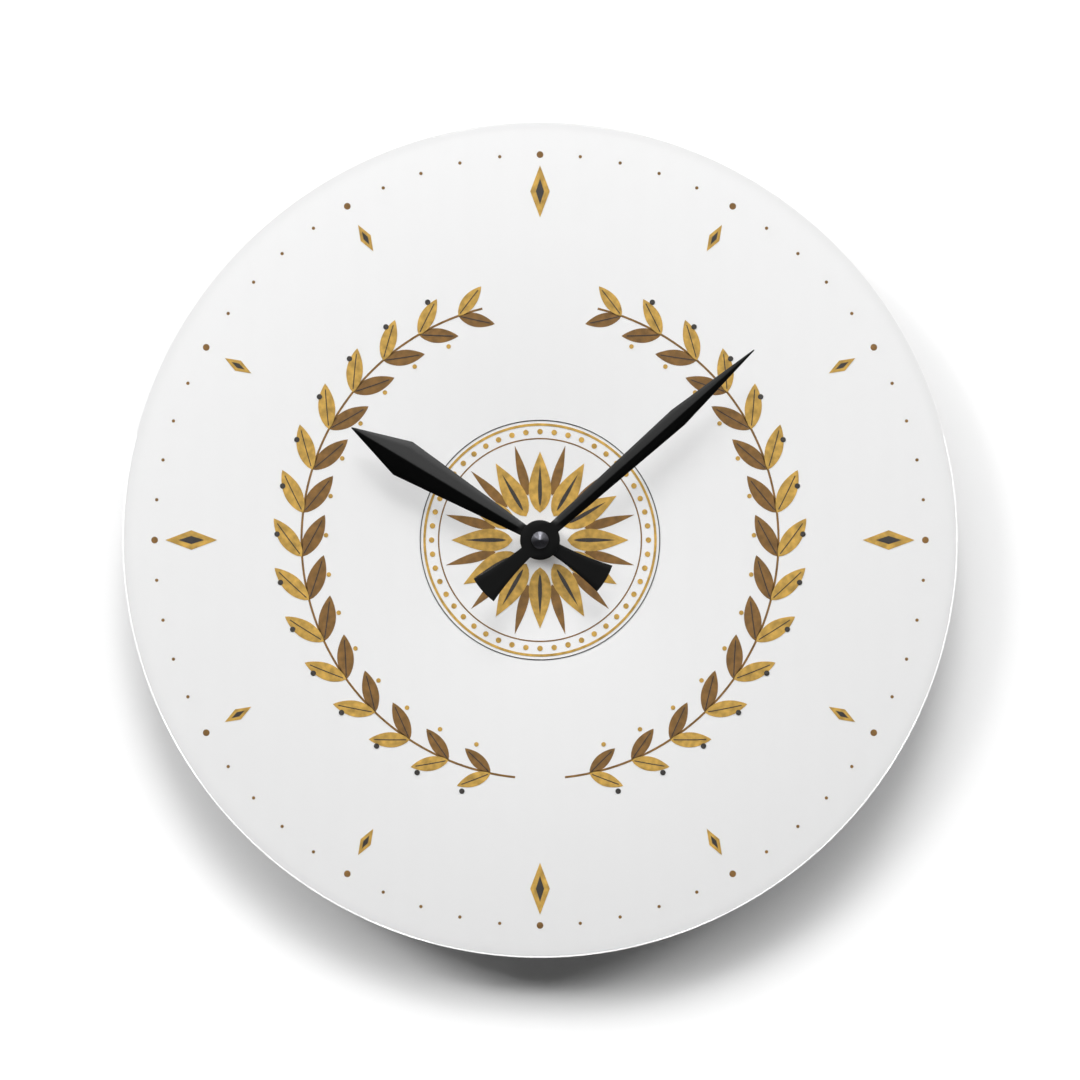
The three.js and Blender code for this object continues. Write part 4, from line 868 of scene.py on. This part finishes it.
class CLOCK_OT_hanger(Operator):
    """Plated strip from the centre bush over the case to the keyhole at the wall"""

    bl_idname = "clock.hanger"
    bl_label = "Hanger"

    def execute(self, context):
        settings = context.scene.clock.case
        sheet, gap, ease, steps = 0.8 * MM, 0.3 * MM, 0.15 * MM, 9
        low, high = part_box("hanger")
        face, tab = -low.y, -high.y + sheet
        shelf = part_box("case_front")[1].z + gap + sheet
        bends = eased([
            (face, low.z, 0), (face, shelf, 2 * sheet), (tab, shelf, sheet), (tab, high.z, 0)], steps)
        path = bends[steps - 1:1 - steps]
        walked = np.concatenate([[0], np.cumsum(np.linalg.norm(np.diff(path, axis=0), axis=1))])
        end = walked[-1]
        wide, corner = high.x, high.x / 2
        eye_at, eye = -low.z, 4.2 * MM
        nail_at, nail, shank, rise = end - (high.z - shelf + sheet) + 6 * MM, 4 * MM, 2.3 * MM, 4.5 * MM
        swing = np.cos(np.linspace(0, math.pi, 33))
        rounding = corner * (1 - swing[:17])
        station = np.unique(np.concatenate([
            walked, np.linspace(0, end, 60), rounding, end - rounding, eye_at + eye * swing,
            nail_at + nail * swing, nail_at + rise + shank * swing]))
        near_end = np.clip(np.minimum(station, end - station), 0, corner)
        half = wide - corner + np.sqrt(corner ** 2 - (corner - near_end) ** 2)

        def round_hole(at, radius):
            return np.sqrt(np.maximum(radius ** 2 - (station - at) ** 2, 0))

        slot = np.where((station > nail_at) & (station < nail_at + rise), shank, 0)
        rounds = ((eye_at, eye), (nail_at, nail), (nail_at + rise, shank))
        hole = np.max([slot, *(round_hole(at, radius) for at, radius in rounds)], axis=0)
        run = np.gradient(path, walked, axis=0)

        def place(x, along, below):
            depth, up = (np.interp(along, walked, path[:, axis]) for axis in (0, 1))
            out, rising = (np.interp(along, walked, run[:, axis]) for axis in (0, 1))
            size = np.hypot(out, rising)
            return np.stack([x, below * rising / size - depth, up + below * out / size], axis=-1)

        steel = rolled_metal("zinc_plated_steel", settings.steel, (0.26, 0.42), (1, 1, 30))
        strip = stamped(station, half, hole, sheet, ease, place)
        piece("hanger_strip", strip, steel, BODY, ("hanger",))
        return {"FINISHED"}


class CLOCK_OT_case(Operator):
    """Moulded movement case: front tray, rear cover and its raised marks"""

    bl_idname = "clock.case"
    bl_label = "Case"

    def execute(self, context):
        settings = context.scene.clock.case
        plastic = moulded("moulded_abs", settings.plastic, (0.42, 0.58), 0.35 * MM, 0.01 * MM)
        ease = settings.edge_ease
        low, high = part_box("case_back")
        centre, size = (low + high) / 2, (high - low) / 2
        straight = np.array([size.x, size.z]) - settings.corner

        def rims(ends):
            """Edges along the outline: |max(|p| - straight, 0)| is the corner's radius all round it."""
            out = np.maximum(np.abs(ends[..., [0, 2]] - [centre.x, centre.z]) - straight, 0)
            off = np.abs(np.linalg.norm(out, axis=2) - settings.corner)
            return (off < TOUCH).all(axis=1) & (np.ptp(ends[..., 1], axis=1) < TOUCH)

        def rear(ends):
            """Edges round the rear face and the openings in it."""
            return (ends[..., 1] > -settings.sink - TOUCH).all(axis=1)

        def sunk(place):
            place[:, 1] = np.minimum(place[:, 1], -settings.sink)
            return place

        softened("case_front", "case_tray", ease, plastic, BODY, rims)
        softened("case_back", "case_cover", ease, plastic, BODY, rear, sunk)
        self.marks(settings, plastic)
        return {"FINISHED"}

    def marks(self, settings, plastic):
        """Raised signs on the cover: the cell's two poles, and arrows both ways round the knob."""
        low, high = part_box("battery_cell")
        knob = middle("setting_knob")
        back, front = 0.05 * MM, settings.sink + 0.1 * MM
        line, level, arm = 0.45 * MM, high.z + 3.2 * MM, 2.2 * MM
        ends = np.array([-arm, -line, line, arm])
        left, right = (np.stack([run, 0 * run], axis=1) for run in (ends[:2], ends[2:]))
        flat = np.stack([left[0], right[1]])
        upright = flat[:, ::-1]
        plus_at, minus_at = np.array([high.x - 6 * MM, level]), np.array([low.x + 6 * MM, level])
        even = np.full((1, 2), line)
        signs = [strips((path + at)[None], even, back, front) for path, at in (
            (left, plus_at), (right, plus_at), (upright, plus_at), (flat, minus_at))]
        turn = np.radians(np.linspace(35, 125, 30))
        reach, head = 9.4 * MM, np.linspace(3, 0, 8)
        for side in (1, -1):
            arc = np.stack([side * np.sin(turn), np.cos(turn)], axis=1) * reach + [knob.x, knob.z]
            half = np.full((1, len(turn)), line)
            half[0, -len(head):] = head * line
            signs.append(strips(arc[None], half, back, front))
        piece("cover_marks", gather(*signs), plastic, BODY, sharp=None)


class CLOCK_OT_knob(Operator):
    """Scalloped setting knob with its finger fin"""

    bl_idname = "clock.knob"
    bl_label = "Knob"

    def execute(self, context):
        settings = context.scene.clock.case
        plastic = moulded("knob_abs", settings.plastic, (0.34, 0.46), 0.3 * MM, 0.006 * MM)
        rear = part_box("setting_knob")[1].y

        def fin(ends):
            """Edges round the top of the finger fin."""
            return (ends[..., 1] > rear - TOUCH).all(axis=1)

        softened("setting_knob", "knob_disc", 0.18 * MM, plastic, "setting_work", fin)
        return {"FINISHED"}


class CLOCK_OT_cell(Operator):
    """Round dry cell: plated can and the printed film shrunk over it"""

    bl_idname = "clock.cell"
    bl_label = "Cell"

    def execute(self, context):
        settings = context.scene.clock.case
        low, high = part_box("battery_cell")
        radius = (high.z - low.z) / 2
        centre = (low.y + radius, low.z + radius)
        film, nub, nub_long, lip = 0.12 * MM, 2.7 * MM, 1.2 * MM, 1.3 * MM
        can, shoulder = radius - film, high.x - nub_long
        base, top, dimple = low.x + film, shoulder - film, low.x + 0.5 * MM
        corners = [
            (0, dimple, 0), (can - 2 * MM, dimple, 0.2 * MM), (can - 2.6 * MM, base, 0.2 * MM),
            (can, base, 0.6 * MM), (can, top, 0.6 * MM), (nub + 0.8 * MM, top, 0.2 * MM),
            (nub, shoulder, 0.1 * MM), (nub, high.x, 0.35 * MM), (0, high.x, 0),
        ]
        tin = rolled_metal("nickel_plated_can", linear("#c4c5c4"), (0.2, 0.3))
        piece("cell_can", turned(eased(corners), 96, True, centre), tin, "cell")
        inside = can - lip
        corners = [
            (inside, low.x, 0.05 * MM), (radius, low.x, 0.7 * MM), (radius, shoulder, 0.7 * MM),
            (inside, shoulder, 0.05 * MM), (inside, top, 0.04 * MM), (can, top, 0.6 * MM),
            (can, base, 0.6 * MM), (inside, base, 0.04 * MM),
        ]
        wrap = shrunk_film(settings)
        sleeve = turned(eased(corners, 7), 96, True, centre)
        piece("cell_film", sleeve, wrap, "cell", ("battery_cell",))
        return {"FINISHED"}


class CLOCK_OT_works(Operator):
    """Finishes of the movement's inner pieces"""

    bl_idname = "clock.works"
    bl_label = "Works"

    def execute(self, context):
        board = moulded("circuit_board", linear("#2c5a38"), (0.4, 0.55), 0.5 * MM, 0.004 * MM)
        acetal = moulded("moulded_acetal", linear("#e9e6de"), (0.36, 0.48), 0.4 * MM, 0.004 * MM)
        iron = rolled_metal("soft_iron", linear("#85878b"), (0.3, 0.48), (20, 1, 1))
        spring = rolled_metal("spring_steel", linear("#c2c4c7"), (0.22, 0.36), (1, 20, 1))
        finishes = {
            acetal: [
                "train_plate", "rotor_pinion", "coil_bobbin", "intermediate_wheel", "second_wheel",
                "third_wheel", "centre_wheel", "minute_wheel", "hour_wheel"],
            iron: ["stator", "coil_core"],
            spring: ["clutch_spring", "positive_contact", "negative_contact", "quartz_crystal"],
            turned_metal("arbor_brass", linear("#c9a24c"), 0.28, 0.2 * MM): ["minute_arbor"],
            pressed("ferrite_magnet", linear("#47484c"), (0.45, 0.6)): ["rotor_magnet"],
            pressed("resin_drop", linear("#141414"), (0.2, 0.3)): ["driver_chip"],
            board: ["circuit_board"],
            wound_copper(): ["coil_winding"],
        }
        for material, names in finishes.items():
            for name in names:
                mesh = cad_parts[name].data
                mesh.materials.clear()
                mesh.materials.append(material)
        return {"FINISHED"}


# Stage

class CLOCK_OT_stage(Operator):
    """White wall, pale floor, soft lamps and the camera in front"""

    bl_idname = "clock.stage"
    bl_label = "Stage"

    def execute(self, context):
        settings = context.scene.clock.stage
        context.scene.view_settings.view_transform = "Standard"
        self.planes(settings)
        self.lamps(settings)
        self.rim_strips(settings)
        self.world(context)
        self.camera(context, settings)
        return {"FINISHED"}

    def planes(self, settings):
        """The wall just behind the clock, seen from its front only, and the floor below."""
        behind, below = 0.5 * MM, -settings.floor_drop
        for name, light, x, (y0, y1), (z0, z1) in (
                ("wall", settings.wall, 4.0, (behind, behind), (-4.0, 4.0)),
                ("floor", settings.floor, 1.6, (-0.2, 1.6), (below, below))):
            corners = [(-x, y0, z0), (x, y0, z0), (x, y1, z1), (-x, y1, z1)]
            mesh = bpy.data.meshes.new(name)
            mesh.from_pydata(corners, [], [(0, 1, 2, 3)])
            mesh.materials.append(matt_paint(name + "_paint", light, name == "wall"))
            made = bpy.data.objects.new(name, mesh)
            bpy.context.scene.collection.objects.link(made)

    def lamp(self, name, watts, size):
        """A rectangular lamp that the eye doesn't see."""
        light = bpy.data.lights.new(name, "AREA")
        light.shape = "RECTANGLE"
        light.size, light.size_y = size
        light.energy = watts
        lamp = bpy.data.objects.new(name, light)
        lamp.visible_camera = False
        lamp.visible_transmission = False
        bpy.context.scene.collection.objects.link(lamp)
        return lamp

    def linked(self, name, *pieces):
        """A collection of pieces for a lamp to heed or to spare."""
        made = bpy.data.collections.new(name)
        for piece_name in pieces:
            made.objects.link(bpy.data.objects[piece_name])
        return made

    def lamps(self, settings):
        """Soft lamps that look at the clock. The hands throw the top lamp's shadow alone."""
        hands = self.linked("hands", "hour_hand_sheet", "minute_hand_sheet")
        for entry in hands.collection_objects:
            entry.light_linking.link_state = "EXCLUDE"
        for name, watts, place, size in (
                ("key", settings.key, (-0.9, -6.0, 5.5), (16.5, 3.3)),
                ("left", settings.side, (-6.0, -3.5, 3.6), (5.0, 2.0)),
                ("right", settings.side / 2, (6.0, -3.5, 3.6), (5.0, 2.0)),
                ("top", settings.top, (0, -5.2, 7.9), (3.9, 3.9)),
                ("rear", settings.rear, (0.6, 1.3, 0.9), (1.2, 1.0))):
            lamp = self.lamp(name, watts, size)
            lamp.location = place
            lamp.rotation_mode = "QUATERNION"
            lamp.rotation_quaternion = lamp.location.to_track_quat("Z", "Y")
            lamp.visible_glossy = name not in ("left", "right")
            if name in ("key", "left", "right"):
                lamp.light_linking.blocker_collection = hands

    def rim_strips(self, settings):
        """Strips round the lower rim, seen in the disc's gloss alone, that brighten its chamfer."""
        disc = self.linked("disc", "acrylic_disc")
        for turn in np.radians((100, 140, 180, 220, 260)):
            lamp = self.lamp("rim", settings.rim, (0.22, 0.03))
            lamp.location = (0.24 * math.sin(turn), -0.016, 0.24 * math.cos(turn))
            lamp.rotation_euler = (0, turn, 0)
            lamp.visible_diffuse = False
            lamp.light_linking.receiver_collection = disc

    def world(self, context):
        """White to the eye, through the clear disc too, and behind the clock in its gloss.

        Other rays meet a dim room, lighter overhead, and dimmer to what is scattered.
        """
        world = bpy.data.worlds.new("studio")
        context.scene.world = world
        world.use_nodes = True
        world.node_tree.nodes.clear()
        add = functools.partial(node, world.node_tree)
        seen, path = sight(add)
        axes = add("SeparateXYZ", (add("TexCoord", out="Generated"),)).node.outputs
        behind = add("MapRange", (axes["Y"], 0.02, 0.2))
        clear = add("Math", (path["Is Camera Ray"], path["Is Transmission Ray"]), operation="MAXIMUM")
        direct = add("Math", (behind, clear), operation="MAXIMUM")
        white = add("Math", (seen, direct), operation="MULTIPLY")
        room = add("MapRange", (axes["Z"], -0.3, 0.3, 0.0, 0.4))
        dim = add("MapRange", (seen, 0.0, 1.0, 0.3, 1.0))
        shade = add("Math", (room, dim), operation="MULTIPLY")
        strength = add("Mix", {0: white, 2: shade, 3: 1.0}, data_type="FLOAT")
        sky = add("Background", ((1, 1, 1, 1), strength))
        add("OutputWorld", (sky,))

    def camera(self, context, settings):
        """Square on to the dial, as far off as its size in the photograph asks."""
        data = bpy.data.cameras.new("camera")
        data.lens = settings.lens
        low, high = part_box("dial_plate")
        view_width = (high.x - low.x) * PHOTO_PIXELS / PHOTO_DIAL_PIXELS
        camera = bpy.data.objects.new("camera", data)
        camera.location = (0, low.y - view_width * data.lens / data.sensor_width, 0)
        camera.rotation_euler = (math.pi / 2, 0, 0)
        context.scene.collection.objects.link(camera)
        context.scene.camera = camera


class CLOCK_PT_parts(Panel):
    """Lists the clock's pieces and settings in the sidebar"""

    bl_label = "Acrylic wall clock"
    bl_idname = "CLOCK_PT_parts"
    bl_space_type = "VIEW_3D"
    bl_region_type = "UI"
    bl_category = "Clock"

    def draw(self, context):
        for maker in MAKERS:
            self.layout.operator(maker.bl_idname)
        for group in ClockSettings.__annotations__:
            box = self.layout.box()
            settings = getattr(context.scene.clock, group)
            for name in settings.__annotations__:
                box.prop(settings, name)


GROUPS = (
    DialSettings, OrnamentSettings, HandSettings, CaseSettings, StageSettings, ClockSettings)
MAKERS = (
    CLOCK_OT_dial, CLOCK_OT_ornament, CLOCK_OT_hands, CLOCK_OT_fastenings, CLOCK_OT_hanger, CLOCK_OT_case,
    CLOCK_OT_knob, CLOCK_OT_cell, CLOCK_OT_works, CLOCK_OT_stage)


def register():
    for made in (*GROUPS, *MAKERS, CLOCK_PT_parts):
        bpy.utils.register_class(made)
    bpy.types.Scene.clock = PointerProperty(type=ClockSettings)


def unregister():
    del bpy.types.Scene.clock
    for made in reversed((*GROUPS, *MAKERS, CLOCK_PT_parts)):
        bpy.utils.unregister_class(made)


def main():
    register()
    for maker in MAKERS:
        getattr(bpy.ops.clock, maker.bl_idname.split(".")[1])()


if __name__ == "__main__":
    main()
